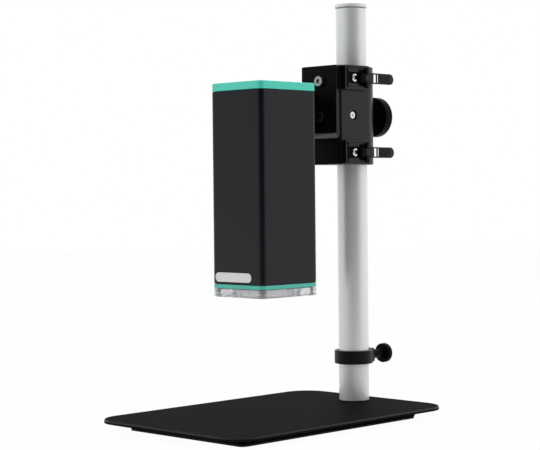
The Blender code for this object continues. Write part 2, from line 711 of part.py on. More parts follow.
def build_sleeve(carriage, materials):
    """Sleeve block that slides on the column, bored for a bush at each end."""
    half = SLEEVE_HEIGHT / 2
    sections = []
    for inset, height in (
        (SLEEVE_EDGE_BEVEL, -half),
        (0.0, SLEEVE_EDGE_BEVEL - half),
        (0.0, half - SLEEVE_EDGE_BEVEL),
        (SLEEVE_EDGE_BEVEL, half),
    ):
        sections.append(at_height(sleeve_outline(inset), height))
    sleeve = add_part("sleeve_block", loft(sections), materials["anodised_black"], carriage)

    boss_end = SLEEVE_RADIUS + CLAMP_BOSS_LENGTH
    join(sleeve, rod((0, SLEEVE_RADIUS - SLEEVE_WALL, 0), (0, boss_end, 0), CLAMP_BOSS_RADIUS, ROUND_STEPS))

    seat = half - BUSH_LENGTH - SEAT_GAP
    end = half + CUT_OVERRUN
    bore = [(0.0, -end), (BUSH_SEAT_RADIUS, -end), (BUSH_SEAT_RADIUS, -seat), (SLEEVE_BORE, -seat)]
    bore += [(radius, -height) for radius, height in reversed(bore)]
    clamp_hole = CLAMP_SCREW_RADIUS + SEAT_GAP
    bracket_hole_end = SLEEVE_FRONT - BRACKET_SCREW_LENGTH + BRACKET_THICKNESS - SEAT_GAP
    side_tip = SLEEVE_RADIUS - SIDE_SCREW_RECESS - SIDE_SCREW_LENGTH - SEAT_GAP
    cut(
        sleeve,
        turned(bore),
        rod((0, 0, 0), (0, boss_end + CUT_OVERRUN, 0), clamp_hole),
        *(
            rod((0, -SLEEVE_FRONT - CUT_OVERRUN, z), (0, -bracket_hole_end, z), M4_HOLE)
            for z in bracket_screw_heights()
        ),
        rod(
            (SLEEVE_RADIUS + CUT_OVERRUN, -SIDE_SCREW_SETBACK, 0),
            (side_tip, -SIDE_SCREW_SETBACK, 0),
            SIDE_SCREW_RADIUS + SEAT_GAP,
        ),
        rod(
            (SLEEVE_RADIUS + CUT_OVERRUN, -SIDE_SCREW_SETBACK, 0),
            (SLEEVE_RADIUS - SIDE_MOUTH_DEPTH, -SIDE_SCREW_SETBACK, 0),
            SIDE_MOUTH_RADIUS,
        ),
    )

    socket = SIDE_SCREW_RADIUS * BOLT_SOCKET_SHARE
    profile = [(0.0, SIDE_SOCKET_DEPTH), (socket, SIDE_SOCKET_DEPTH), (socket, 0.0)]
    profile += [(SIDE_SCREW_RADIUS, 0.0), (SIDE_SCREW_RADIUS, SIDE_SCREW_LENGTH)]
    profile.append((0.0, SIDE_SCREW_LENGTH))
    place = (SLEEVE_RADIUS - SIDE_SCREW_RECESS, -SIDE_SCREW_SETBACK, 0.0)
    screw = turned(profile, SMALL_ROUND_STEPS)
    add_part("side_grub_screw", screw, materials["steel"], carriage, place, TOWARDS_MINUS_X)


def build_bushes(carriage, materials):
    """Nylon bush in each end of the sleeve block."""
    for name, side in (("lower_bush", -1), ("upper_bush", 1)):
        outer = side * SLEEVE_HEIGHT / 2
        inner = outer - side * BUSH_LENGTH
        bush = tube(SLIDE_RADIUS, BUSH_RADIUS, min(outer, inner), max(outer, inner), bevel=BUSH_BEVEL)
        add_part(name, bush, materials["plastic_black"], carriage)


def bracket_screw_heights():
    """Heights of the two screws in the sleeve's front, from the middle of the sleeve."""
    upper = SLEEVE_HEIGHT / 2 - FLANGE_TOP_DROP - BRACKET_SCREW_DROP
    return upper, upper - BRACKET_SCREW_SPACING


def head_screw_heights():
    """Heights of the two screws in the microscope's back, from the middle of the sleeve."""
    return HEAD_SCREW_CENTRE + HEAD_SCREW_SPACING / 2, HEAD_SCREW_CENTRE - HEAD_SCREW_SPACING / 2


def build_bracket(carriage, materials):
    """Flange on the sleeve's front, and an arm that reaches round to the microscope's back."""
    flange_top = SLEEVE_HEIGHT / 2 - FLANGE_TOP_DROP
    flange_bottom = flange_top - FLANGE_HEIGHT
    flange = slab(
        FLANGE_WIDTH,
        FLANGE_HEIGHT,
        FLANGE_CORNER_RADIUS,
        0.0,
        BRACKET_THICKNESS,
        top_round=FLANGE_EDGE_ROUND,
    )
    flange = shifted(faced(flange, TOWARDS_MINUS_Y), (0.0, -FLANGE_BACK, (flange_top + flange_bottom) / 2))
    bracket = add_part("offset_bracket", flange, materials["anodised_black"], carriage)

    arm_bottom = BRACKET_ARM_LIFT - BRACKET_ARM_HEIGHT / 2
    join(bracket, prism(bracket_outline(), arm_bottom, BRACKET_ARM_TOP))

    slope = FLANGE_CHAMFER_HEIGHT / FLANGE_CHAMFER_DEPTH
    front = -FLANGE_FRONT - CUT_OVERRUN
    below = flange_bottom - CUT_OVERRUN
    chamfer_top = flange_bottom + FLANGE_CHAMFER_HEIGHT + slope * CUT_OVERRUN
    chamfer_back = -FLANGE_FRONT + FLANGE_CHAMFER_DEPTH + CUT_OVERRUN / slope
    ends = []
    for x in (-FLANGE_WIDTH, FLANGE_WIDTH):
        ends.append([(x, front, chamfer_top), (x, front, below), (x, chamfer_back, below)])
    cut(
        bracket,
        loft(ends),
        *(
            rod((0, -FLANGE_FRONT - CUT_OVERRUN, z), (0, -FLANGE_BACK + CUT_OVERRUN, z), M4_HOLE)
            for z in bracket_screw_heights()
        ),
        *(
            rod((0, -ARM_FRONT - CUT_OVERRUN, z), (0, -ARM_BACK + CUT_OVERRUN, z), M4_HOLE)
            for z in head_screw_heights()
        ),
    )

    steel = materials["steel"]
    for name, z in zip(("bracket_screw_upper", "bracket_screw_lower"), bracket_screw_heights()):
        place = (0.0, -FLANGE_FRONT - SEAT_GAP, z)
        add_part(name, m4_screw(BRACKET_SCREW_LENGTH), steel, carriage, place, TOWARDS_PLUS_Y)
    head_screw_length = BRACKET_THICKNESS + HOUSING_WALL + NUT_PLATE_THICKNESS + 2 * SEAT_GAP
    for name, z in zip(("head_screw_upper", "head_screw_lower"), head_screw_heights()):
        place = (0.0, -ARM_BACK + SEAT_GAP, z)
        add_part(name, m4_screw(head_screw_length), steel, carriage, place, TOWARDS_MINUS_Y)


# Cable clips

def strap_outline():
    """Narrow neck that starts in the clip, shoulders outside its wall, and a tail with a round tip."""
    neck = STRAP_NECK_WIDTH / 2
    side = STRAP_WIDTH / 2
    outside = CLIP_LENGTH / 2 + SEAT_GAP
    shoulder = outside + STRAP_SHOULDER
    tip = CLIP_LENGTH / 2 + STRAP_TAIL_LENGTH
    points = [(-neck, STRAP_ROOT_MIDDLE), (neck, STRAP_ROOT_MIDDLE), (neck, outside), (side, shoulder)]
    points += arc((0.0, tip - side), side, 0, 180, ROUND_STEPS // 2)
    points += [(-side, shoulder), (-neck, outside)]
    return points


def add_strap(name, material, carriage, place):
    """Flat strap with its root block on the clip's floor and latch slots through its tail."""
    bottom = STRAP_HEIGHT - STRAP_THICKNESS / 2
    top = STRAP_HEIGHT + STRAP_THICKNESS / 2
    flat = faced(prism(strap_outline(), bottom, top), TOWARDS_PLUS_X)
    strap = add_part(name, flat, material, carriage, place)
    root = block(STRAP_ROOT_WIDTH, STRAP_ROOT_LENGTH, CLIP_FLOOR + SEAT_GAP, CLIP_WALL_HEIGHT)
    join(strap, faced(shifted(root, (0.0, STRAP_ROOT_MIDDLE, 0.0)), TOWARDS_PLUS_X))
    slots = []
    for number in range(STRAP_SLOT_COUNT):
        middle = CLIP_LENGTH / 2 + STRAP_SLOT_START + number * STRAP_SLOT_PITCH
        slot = block(STRAP_SLOT_WIDTH, STRAP_SLOT_LENGTH, bottom - CUT_OVERRUN, top + CUT_OVERRUN)
        slots.append(faced(shifted(slot, (0.0, middle, 0.0)), TOWARDS_PLUS_X))
    cut(strap, *slots)


def build_clips(carriage, materials):
    """Two adjustable cable clips on the side of the sleeve block."""
    black = materials["plastic_black"]
    height_between = SLEEVE_HEIGHT / 2 - CLIP_WIDTH / 2
    for name, z in (("upper_clip", height_between), ("lower_clip", -height_between)):
        place = (SLEEVE_RADIUS + SEAT_GAP, -CLIP_SETBACK, z)
        body = slab(
            CLIP_WIDTH, CLIP_LENGTH, CLIP_CORNER_RADIUS, 0.0, CLIP_WALL_HEIGHT, top_round=CLIP_EDGE_ROUND
        )
        base = add_part(f"{name}_base", faced(body, TOWARDS_PLUS_X), black, carriage, place)
        pocket = slab(
            CLIP_WIDTH - 2 * CLIP_WALL,
            CLIP_LENGTH - 2 * CLIP_WALL,
            CLIP_CORNER_RADIUS / 2,
            CLIP_FLOOR,
            CLIP_WALL_HEIGHT + CUT_OVERRUN,
        )
        notch = block(
            STRAP_NECK_WIDTH + 2 * SEAT_GAP,
            2 * CLIP_WALL + CUT_OVERRUN,
            STRAP_HEIGHT - STRAP_THICKNESS / 2 - SEAT_GAP,
            CLIP_WALL_HEIGHT + CUT_OVERRUN,
        )
        notch = shifted(notch, (0.0, CLIP_LENGTH / 2, 0.0))
        cut(base, faced(pocket, TOWARDS_PLUS_X), faced(notch, TOWARDS_PLUS_X))
        add_strap(f"{name}_strap", black, carriage, place)


# Clamp and stop collar, each with a pad, a screw and a knob on an axis that points away from the column

def build_clamp(clamp, materials):
    """Pressure pad, screw and knob behind the sleeve block."""
    pad_start = COLUMN_RADIUS + SEAT_GAP
    pad_end = pad_start + CLAMP_PAD_THICKNESS
    pad = rod((0, 0, pad_start), (0, 0, pad_end), CLAMP_PAD_RADIUS)
    add_part("clamp_pad", pad, materials["brass"], clamp)

    hub_start = SLEEVE_RADIUS + CLAMP_BOSS_LENGTH + CLAMP_KNOB_STANDOFF
    grip_start = hub_start + CLAMP_HUB_LENGTH
    grip_end = grip_start + CLAMP_KNOB_THICKNESS
    screw_end = hub_start + CLAMP_KNOB_SCREW_DEPTH
    screw = rod((0, 0, pad_end + SEAT_GAP), (0, 0, screw_end), CLAMP_SCREW_RADIUS)
    add_part("clamp_screw", screw, materials["steel"], clamp)

    knob = add_part(
        "clamp_knob",
        lobed_knob(
            CLAMP_KNOB_RADIUS,
            CLAMP_KNOB_LOBES,
            CLAMP_KNOB_LOBE_DEPTH,
            grip_start,
            grip_end,
            CLAMP_KNOB_ROUND,
        ),
        materials["plastic_black"],
        clamp,
    )
    join(knob, rod((0, 0, hub_start), (0, 0, grip_start + CLAMP_KNOB_ROUND), CLAMP_HUB_RADIUS, ROUND_STEPS))
    screw_hole = CLAMP_SCREW_RADIUS + SEAT_GAP
    cut(
        knob,
        rod((0, 0, hub_start - CUT_OVERRUN), (0, 0, screw_end + SEAT_GAP), screw_hole),
        rod(
            (0, 0, grip_end - CLAMP_FACE_DEPTH),
            (0, 0, grip_end + CUT_OVERRUN),
            CLAMP_FACE_RADIUS,
            ROUND_STEPS,
        ),
    )


def build_collar(collar, materials):
    """Ring on the column with a boss for its thumb screw."""
    radius = SLIDE_RADIUS + COLLAR_WALL
    half = COLLAR_HEIGHT / 2
    boss_end = radius + COLLAR_BOSS_LENGTH
    profile = [(0.0, half), (radius - COLLAR_BEVEL, half), (radius, half - COLLAR_BEVEL)]
    profile += [(radius, COLLAR_BEVEL - half), (radius - COLLAR_BEVEL, -half), (0.0, -half)]
    ring = add_part("stop_collar", turned(profile), materials["anodised_black"], collar)
    boss = slab(
        COLLAR_BOSS_WIDTH,
        COLLAR_BOSS_HEIGHT,
        COLLAR_BEVEL * 2,
        SLIDE_RADIUS,
        boss_end,
        top_round=COLLAR_BEVEL,
    )
    join(ring, faced(boss, TOWARDS_PLUS_Y))
    cut(
        ring,
        rod((0, 0, -half - CUT_OVERRUN), (0, 0, half + CUT_OVERRUN), SLIDE_RADIUS, ROUND_STEPS),
        rod((0, 0, 0), (0, boss_end + CUT_OVERRUN, 0), COLLAR_SCREW_RADIUS + SEAT_GAP),
    )
    return boss_end


def build_thumb_screw(axis, boss_end, materials):
    """Pad, screw and knob behind the stop collar."""
    pad_start = COLUMN_RADIUS + SEAT_GAP
    pad_end = pad_start + COLLAR_PAD_THICKNESS
    pad = rod((0, 0, pad_start), (0, 0, pad_end), COLLAR_PAD_RADIUS)
    add_part("collar_pad", pad, materials["brass"], axis)

    grip_start = boss_end + THUMB_NECK_LENGTH
    screw_end = grip_start + THUMB_KNOB_SCREW_DEPTH
    screw = rod((0, 0, pad_end + SEAT_GAP), (0, 0, screw_end), COLLAR_SCREW_RADIUS)
    add_part("thumb_screw", screw, materials["anodised_black"], axis)

    grip = lobed_knob(
        THUMB_KNOB_RADIUS,
        THUMB_KNOB_LOBES,
        THUMB_KNOB_LOBE_DEPTH,
        grip_start,
        grip_start + THUMB_KNOB_THICKNESS,
        THUMB_KNOB_ROUND,
    )
    knob = add_part("thumb_knob", grip, materials["plastic_black"], axis)
    screw_hole = COLLAR_SCREW_RADIUS + SEAT_GAP
    cut(knob, rod((0, 0, grip_start - CUT_OVERRUN), (0, 0, screw_end + SEAT_GAP), screw_hole))


# Microscope

def ring_screw_body(radius_gap, bottom, top):
    """Countersunk screw along +Z, or with a gap the hole that it goes in."""
    head = RING_SCREW_HEAD_RADIUS + radius_gap
    shank = RING_SCREW_RADIUS + radius_gap
    rim = LIGHT_RING_SCREW_DEPTH + RING_SCREW_RIM
    profile = [(head, bottom), (head, rim), (shank, rim + RING_SCREW_CONE), (shank, top), (0.0, top)]
    if radius_gap:
        return turned([(0.0, bottom)] + profile, SMALL_ROUND_STEPS)
    socket_floor = bottom + RING_SCREW_SOCKET_DEPTH
    socket = [(0.0, socket_floor), (RING_SCREW_SOCKET_RADIUS, socket_floor)]
    socket.append((RING_SCREW_SOCKET_RADIUS, bottom))
    return turned(socket + profile, SMALL_ROUND_STEPS)


def corner_places():
    """Centres of the four screw channels."""
    return [(x, y, 0.0) for x in (-CHANNEL_X, CHANNEL_X) for y in (-CHANNEL_Y, CHANNEL_Y)]


def build_housing(head, materials):
    """Extruded housing with its top cap, lower ring, clear light ring and bare label plate."""
    black = materials["anodised_black"]
    outer = rounded_rectangle(HEAD_WIDTH, HEAD_DEPTH, HEAD_CORNER_RADIUS)
    housing = add_part("housing", prism(outer, HOUSING_BOTTOM, HOUSING_TOP), black, head)
    cavity = prism(channel_outline(0.0), HOUSING_BOTTOM - CUT_OVERRUN, HOUSING_TOP + CUT_OVERRUN)
    screw_hole_top = LIGHT_RING_SCREW_DEPTH + RING_SCREW_LENGTH + SEAT_GAP
    ring_holes = []
    for place in corner_places():
        hole = ring_screw_body(SEAT_GAP, -CUT_OVERRUN, screw_hole_top)
        ring_holes.append(shifted(hole, place))
    back = HEAD_DEPTH / 2
    head_screw_holes = []
    for z in head_screw_heights():
        height = z - HEAD_TOP + HEAD_HEIGHT
        start = (0, back - HOUSING_WALL - CUT_OVERRUN, height)
        head_screw_holes.append(rod(start, (0, back + CUT_OVERRUN, height), M4_HOLE))
    usb_hole = slab(
        USB_WIDTH + 2 * USB_CLEARANCE,
        USB_HEIGHT + 2 * USB_CLEARANCE,
        USB_HEIGHT / 2,
        back - HOUSING_WALL - CUT_OVERRUN,
        back + CUT_OVERRUN,
    )
    usb_hole = shifted(faced(usb_hole, TOWARDS_PLUS_Y), (0.0, 0.0, usb_height()))
    label_place = (LABEL_SHIFT, -HEAD_DEPTH / 2, HOUSING_BOTTOM + LABEL_LIFT)
    recess = slab(
        LABEL_WIDTH + 2 * SEAT_GAP,
        LABEL_HEIGHT + 2 * SEAT_GAP,
        LABEL_HEIGHT / 2,
        -LABEL_RECESS,
        CUT_OVERRUN,
    )
    recess = shifted(faced(recess, TOWARDS_MINUS_Y), label_place)
    cut(housing, cavity, *ring_holes, *head_screw_holes, usb_hole, recess)

    label = slab(
        LABEL_WIDTH,
        LABEL_HEIGHT,
        LABEL_HEIGHT / 2 - SEAT_GAP,
        0.0,
        LABEL_THICKNESS,
        top_round=LABEL_ROUND,
    )
    label = shifted(faced(label, TOWARDS_MINUS_Y), label_place)
    label = shifted(label, (0.0, LABEL_RECESS - SEAT_GAP, 0.0))
    add_part("label_plate", label, materials["label_white"], head)

    cap = slab(HEAD_WIDTH, HEAD_DEPTH, HEAD_CORNER_RADIUS, CAP_BOTTOM, HEAD_HEIGHT, top_round=CAP_TOP_ROUND)
    top_cap = add_part("top_cap", cap, materials["plastic_teal"], head)
    spigot_bottom = HOUSING_TOP - CAP_SPIGOT_LENGTH
    join(top_cap, prism(channel_outline(SEAT_GAP), spigot_bottom, CAP_BOTTOM + SEAT_GAP))
    spigot_inside = channel_outline(SEAT_GAP + CAP_SPIGOT_WALL)
    cut(top_cap, prism(spigot_inside, spigot_bottom - CUT_OVERRUN, CAP_BOTTOM))


def build_rings(head, materials):
    """Lower ring, clear light ring, their four screws and the LED board between them."""
    ring = slab(HEAD_WIDTH, HEAD_DEPTH, HEAD_CORNER_RADIUS, LOWER_RING_BOTTOM, LOWER_RING_TOP)
    lower_ring = add_part("lower_ring", ring, materials["plastic_teal"], head)
    opening_width = HEAD_WIDTH - 2 * LOWER_RING_RIM
    opening_depth = HEAD_DEPTH - 2 * LOWER_RING_RIM
    opening = slab(
        opening_width,
        opening_depth,
        LOWER_RING_OPENING_RADIUS,
        LOWER_RING_BOTTOM - CUT_OVERRUN,
        LOWER_RING_TOP + CUT_OVERRUN,
    )
    cut(lower_ring, opening)

    clear = slab(
        HEAD_WIDTH,
        HEAD_DEPTH,
        HEAD_CORNER_RADIUS,
        0.0,
        LIGHT_RING_HEIGHT,
        bottom_round=LIGHT_RING_EDGE_ROUND,
    )
    light_ring = add_part("light_ring", clear, materials["plastic_clear"], head)
    aperture_end = (0, 0, LIGHT_RING_HEIGHT + CUT_OVERRUN)
    aperture = rod((0, 0, -CUT_OVERRUN), aperture_end, LIGHT_RING_APERTURE, ROUND_STEPS)
    cut(light_ring, aperture)

    for number, place in enumerate(corner_places(), start=1):
        hole_top = HOUSING_BOTTOM + CUT_OVERRUN
        for part in (lower_ring, light_ring):
            cut(part, shifted(ring_screw_body(SEAT_GAP, -CUT_OVERRUN, hole_top), place))
        screw_top = LIGHT_RING_SCREW_DEPTH + RING_SCREW_LENGTH
        screw = ring_screw_body(0.0, LIGHT_RING_SCREW_DEPTH, screw_top)
        add_part(f"ring_screw_{number}", screw, materials["steel"], head, place)

    board_bottom = LOWER_RING_BOTTOM + LED_HEIGHT
    board = slab(
        opening_width - 2 * SEAT_GAP,
        opening_depth - 2 * SEAT_GAP,
        LOWER_RING_OPENING_RADIUS - SEAT_GAP,
        board_bottom,
        board_bottom + LED_BOARD_THICKNESS,
    )
    led_board = add_part("led_board", board, materials["board_green"], head)
    lamps = []
    for number in range(LED_COUNT):
        angle = 2 * math.pi * number / LED_COUNT
        lamp = block(LED_SIZE, LED_SIZE, LOWER_RING_BOTTOM, board_bottom + LED_BOARD_THICKNESS / 2)
        offset = (LED_CIRCLE_RADIUS * math.cos(angle), LED_CIRCLE_RADIUS * math.sin(angle), 0.0)
        lamps.append(shifted(lamp, offset))
    join(led_board, *lamps)
    cut(led_board, rod((0, 0, 0), (0, 0, HOUSING_BOTTOM), LED_APERTURE, ROUND_STEPS))


def usb_height():
    """Middle of the USB socket above the microscope's lower face."""
    return SENSOR_PLATE_TOP + USB_LIFT


def inside_plate(bottom, top):
    """Plate that fills the housing's section between its screw channels."""
    return prism(channel_outline(SEAT_GAP), bottom, top)


def build_optics(head, focus, screw_axis, materials):
    """Chassis with the guide tube, and the lens barrel that a lead screw moves in it."""
    black = materials["anodised_black"]
    tube_inner = BARREL_RADIUS + SEAT_GAP
    tube_top = CHASSIS_TOP + GUIDE_TUBE_HEIGHT
    chassis = add_part("optics_chassis", inside_plate(HOUSING_BOTTOM, CHASSIS_TOP), black, head)
    guide = rod((0, 0, HOUSING_BOTTOM), (0, 0, tube_top), tube_inner + GUIDE_TUBE_WALL, ROUND_STEPS)
    join(chassis, guide)
    half_spacing = FOCUS_SPACING / 2
    rod_holes = []
    for x in (-half_spacing, half_spacing):
        rod_holes.append(rod((x, 0, 0), (x, 0, CHASSIS_TOP + CUT_OVERRUN), FOCUS_HOLE))
    cut(chassis, rod((0, 0, 0), (0, 0, tube_top + CUT_OVERRUN), tube_inner, ROUND_STEPS), *rod_holes)

    rod_top = SENSOR_PLATE_TOP - SEAT_GAP
    guide_rod = rod((-half_spacing, 0, ROD_FOOT), (-half_spacing, 0, rod_top), FOCUS_ROD_RADIUS)
    add_part("guide_rod", guide_rod, materials["steel"], head)
    motor_bottom = SENSOR_PLATE_TOP + SEAT_GAP
    screw_end = (0, 0, motor_bottom + MOTOR_SHAFT_DEPTH - SEAT_GAP)
    lead_screw = rod((0, 0, ROD_FOOT), screw_end, FOCUS_ROD_RADIUS)
    add_part("lead_screw", lead_screw, materials["steel"], screw_axis)

    barrel_bottom = HOUSING_BOTTOM + BARREL_LIFT
    barrel_top = barrel_bottom + BARREL_LENGTH
    front_seat = barrel_bottom + FRONT_SEAT_DEPTH
    rear_seat = barrel_top - REAR_SEAT_DEPTH
    profile = [(LENS_SEAT_RADIUS, barrel_bottom), (BARREL_RADIUS, barrel_bottom)]
    profile.append((BARREL_RADIUS, barrel_top))
    profile += [(REAR_SEAT_RADIUS, barrel_top), (REAR_SEAT_RADIUS, rear_seat), (BARREL_BORE, rear_seat)]
    profile += [(BARREL_BORE, front_seat), (LENS_SEAT_RADIUS, front_seat)]
    add_part("lens_barrel", turned(profile), black, focus)

    front_top = front_seat - SEAT_GAP
    front_lens = lens_body(LENS_SEAT_RADIUS - SEAT_GAP, front_top - LENS_THICKNESS, front_top)
    add_part("front_lens", front_lens, materials["glass"], focus)
    rear_bottom = rear_seat + SEAT_GAP
    rear_lens = lens_body(REAR_SEAT_RADIUS - SEAT_GAP, rear_bottom, rear_bottom + LENS_THICKNESS)
    add_part("rear_lens", rear_lens, materials["glass"], focus)
    ring_outer = LENS_SEAT_RADIUS - SEAT_GAP
    ring_top = front_top - LENS_THICKNESS + LENS_CROWN - SEAT_GAP
    ring = tube(ring_outer - RETAINER_WIDTH, ring_outer, ring_top - RETAINER_THICKNESS, ring_top)
    add_part("lens_retaining_ring", ring, black, focus)

    arm_top = barrel_top - FOCUS_ARM_DROP
    arm_bottom = arm_top - FOCUS_ARM_THICKNESS
    hub = tube_inner + FOCUS_ARM_RIM
    arm = add_part("focus_arm", rod((0, 0, arm_bottom), (0, 0, arm_top), hub, ROUND_STEPS), black, focus)
    eyes_length = FOCUS_SPACING + 2 * FOCUS_EYE_RADIUS
    eyes = slab(eyes_length, 2 * FOCUS_EYE_RADIUS, FOCUS_EYE_RADIUS, arm_bottom, arm_top)
    join(arm, eyes)
    eye_holes = []
    for x in (-half_spacing, half_spacing):
        eye_holes.append(rod((x, 0, arm_bottom - CUT_OVERRUN), (x, 0, arm_top + CUT_OVERRUN), FOCUS_HOLE))
    hole_ends = ((0, 0, arm_bottom - CUT_OVERRUN), (0, 0, arm_top + CUT_OVERRUN))
    barrel_hole = rod(*hole_ends, tube_inner, ROUND_STEPS)
    cut(arm, barrel_hole, *eye_holes)


def lens_body(radius, bottom, top):
    """Lens with a crowned face on each side and a straight edge between them."""
    profile = [(0.0, bottom)]
    for step in range(1, LENS_STEPS + 1):
        reach = radius * step / LENS_STEPS
        profile.append((reach, bottom + LENS_CROWN * (step / LENS_STEPS) ** 2))
    profile += [(x, bottom + top - z) for x, z in reversed(profile)]
    return turned(profile)


def build_electronics(head, materials):
    """Sensor plate, image sensor, boards, focus motor, USB socket and nut plate."""
    black = materials["anodised_black"]
    plate = inside_plate(SENSOR_PLATE_HEIGHT, SENSOR_PLATE_TOP)
    sensor_plate = add_part("sensor_plate", plate, black, head)
    window = block(
        SENSOR_WIDTH + 2 * SEAT_GAP,
        SENSOR_DEPTH + 2 * SEAT_GAP,
        SENSOR_PLATE_HEIGHT - CUT_OVERRUN,
        SENSOR_PLATE_TOP + CUT_OVERRUN,
    )
    half_spacing = FOCUS_SPACING / 2
    rod_holes = []
    for x in (-half_spacing, half_spacing):
        start = (x, 0, SENSOR_PLATE_HEIGHT - CUT_OVERRUN)
        rod_holes.append(rod(start, (x, 0, SENSOR_PLATE_TOP + CUT_OVERRUN), FOCUS_HOLE))
    cut(sensor_plate, window, *rod_holes)

    green = materials["board_green"]
    board_bottom = SENSOR_PLATE_TOP + SEAT_GAP
    board_top = board_bottom + BOARD_THICKNESS
    sensor = block(SENSOR_WIDTH, SENSOR_DEPTH, SENSOR_PLATE_TOP - SENSOR_THICKNESS, SENSOR_PLATE_TOP)
    add_part("image_sensor", sensor, materials["glass"], head)
    board = block(SENSOR_BOARD_WIDTH, SENSOR_BOARD_DEPTH, board_bottom, board_top)
    add_part("sensor_board", shifted(board, (SENSOR_BOARD_SHIFT, 0.0, 0.0)), green, head)

    motor = turned(
        [
            (FOCUS_HOLE, board_bottom),
            (MOTOR_RADIUS, board_bottom),
            (MOTOR_RADIUS, board_bottom + MOTOR_LENGTH),
            (0.0, board_bottom + MOTOR_LENGTH),
            (0.0, board_bottom + MOTOR_SHAFT_DEPTH),
            (FOCUS_HOLE, board_bottom + MOTOR_SHAFT_DEPTH),
        ]
    )
    add_part("focus_motor", motor, materials["steel"], head, (half_spacing, 0.0, 0.0))

    board_back = HEAD_DEPTH / 2 - HOUSING_WALL - MAIN_BOARD_SETBACK
    main_board = block(MAIN_BOARD_WIDTH, MAIN_BOARD_HEIGHT, board_back - BOARD_THICKNESS, board_back)
    main_board = faced(main_board, TOWARDS_PLUS_Y)
    main_board = shifted(main_board, (0.0, 0.0, board_bottom + MAIN_BOARD_HEIGHT / 2))
    add_part("main_board", main_board, green, head)

    socket_front = HEAD_DEPTH / 2 + USB_PROUD
    socket = slab(USB_WIDTH, USB_HEIGHT, USB_HEIGHT / 2 - SEAT_GAP, board_back + SEAT_GAP, socket_front)
    socket = shifted(faced(socket, TOWARDS_PLUS_Y), (0.0, 0.0, usb_height()))
    usb_socket = add_part("usb_socket", socket, materials["steel"], head)
    mouth = slab(
        USB_WIDTH - 2 * USB_SHELL,
        USB_HEIGHT - 2 * USB_SHELL,
        USB_HEIGHT / 2 - USB_SHELL - SEAT_GAP,
        socket_front - USB_MOUTH_DEPTH,
        socket_front + CUT_OVERRUN,
    )
    cut(usb_socket, shifted(faced(mouth, TOWARDS_PLUS_Y), (0.0, 0.0, usb_height())))

    nut_back = HEAD_DEPTH / 2 - HOUSING_WALL - SEAT_GAP
    nut_height = HEAD_SCREW_SPACING + 2 * NUT_PLATE_MARGIN
    nut_centre = HEAD_SCREW_CENTRE - HEAD_TOP + HEAD_HEIGHT
    nut = block(NUT_PLATE_WIDTH, nut_height, nut_back - NUT_PLATE_THICKNESS, nut_back)
    nut = shifted(faced(nut, TOWARDS_PLUS_Y), (0.0, 0.0, nut_centre))
    nut_plate = add_part("nut_plate", nut, materials["steel"], head)
    for side in (-1, 1):
        height = nut_centre + side * HEAD_SCREW_SPACING / 2
        start = (0, nut_back - NUT_PLATE_THICKNESS - CUT_OVERRUN, height)
        cut(nut_plate, rod(start, (0, nut_back + CUT_OVERRUN, height), M4_HOLE))


def build_microscope():
    """Builds the whole object."""
    clear_scene()
    materials = make_materials()

    stand = axis_empty("stand_frame", (0.0, 0.0, 0.0))
    build_base(stand, materials)
    column = axis_empty("column_axis", (0.0, COLUMN_Y, 0.0), stand)
    build_column(column, materials)

    carriage = axis_empty("carriage_axis", (0.0, 0.0, CARRIAGE_HEIGHT), column)
    build_sleeve(carriage, materials)
    build_bushes(carriage, materials)
    build_bracket(carriage, materials)
    build_clips(carriage, materials)
    build_clamp(axis_empty("clamp_axis", (0.0, 0.0, 0.0), carriage, TOWARDS_PLUS_Y), materials)

    collar = axis_empty("collar_axis", (0.0, 0.0, COLLAR_CENTRE_HEIGHT), column)
    boss_end = build_collar(collar, materials)
    thumb_axis = axis_empty("thumb_screw_axis", (0.0, 0.0, 0.0), collar, TOWARDS_PLUS_Y)
    build_thumb_screw(thumb_axis, boss_end, materials)

    head = axis_empty("head_axis", (0.0, -HEAD_REACH, HEAD_TOP - HEAD_HEIGHT), carriage)
    build_housing(head, materials)
    build_rings(head, materials)
    focus = axis_empty("focus_axis", (0.0, 0.0, 0.0), head)
    screw_axis = axis_empty("lead_screw_axis", (FOCUS_SPACING / 2, 0.0, 0.0), head)
    build_optics(head, focus, screw_axis, materials)
    build_electronics(head, materials)


build_microscope()
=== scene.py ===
"""Digital microscope on a column stand: the visible pieces, their finishes, and a plain studio.

Everything is in metres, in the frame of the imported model: +Z is up along the column, the microscope hangs in
front of the column towards -Y, and the cable clips are on the +X side of the sleeve block.
"""

from __future__ import annotations

import json
import logging
import math
from collections.abc import Callable, Iterator, Sequence
from contextlib import contextmanager
from dataclasses import dataclass, field, replace
from enum import Enum

import bmesh
import bpy
from mathutils import Matrix, Vector

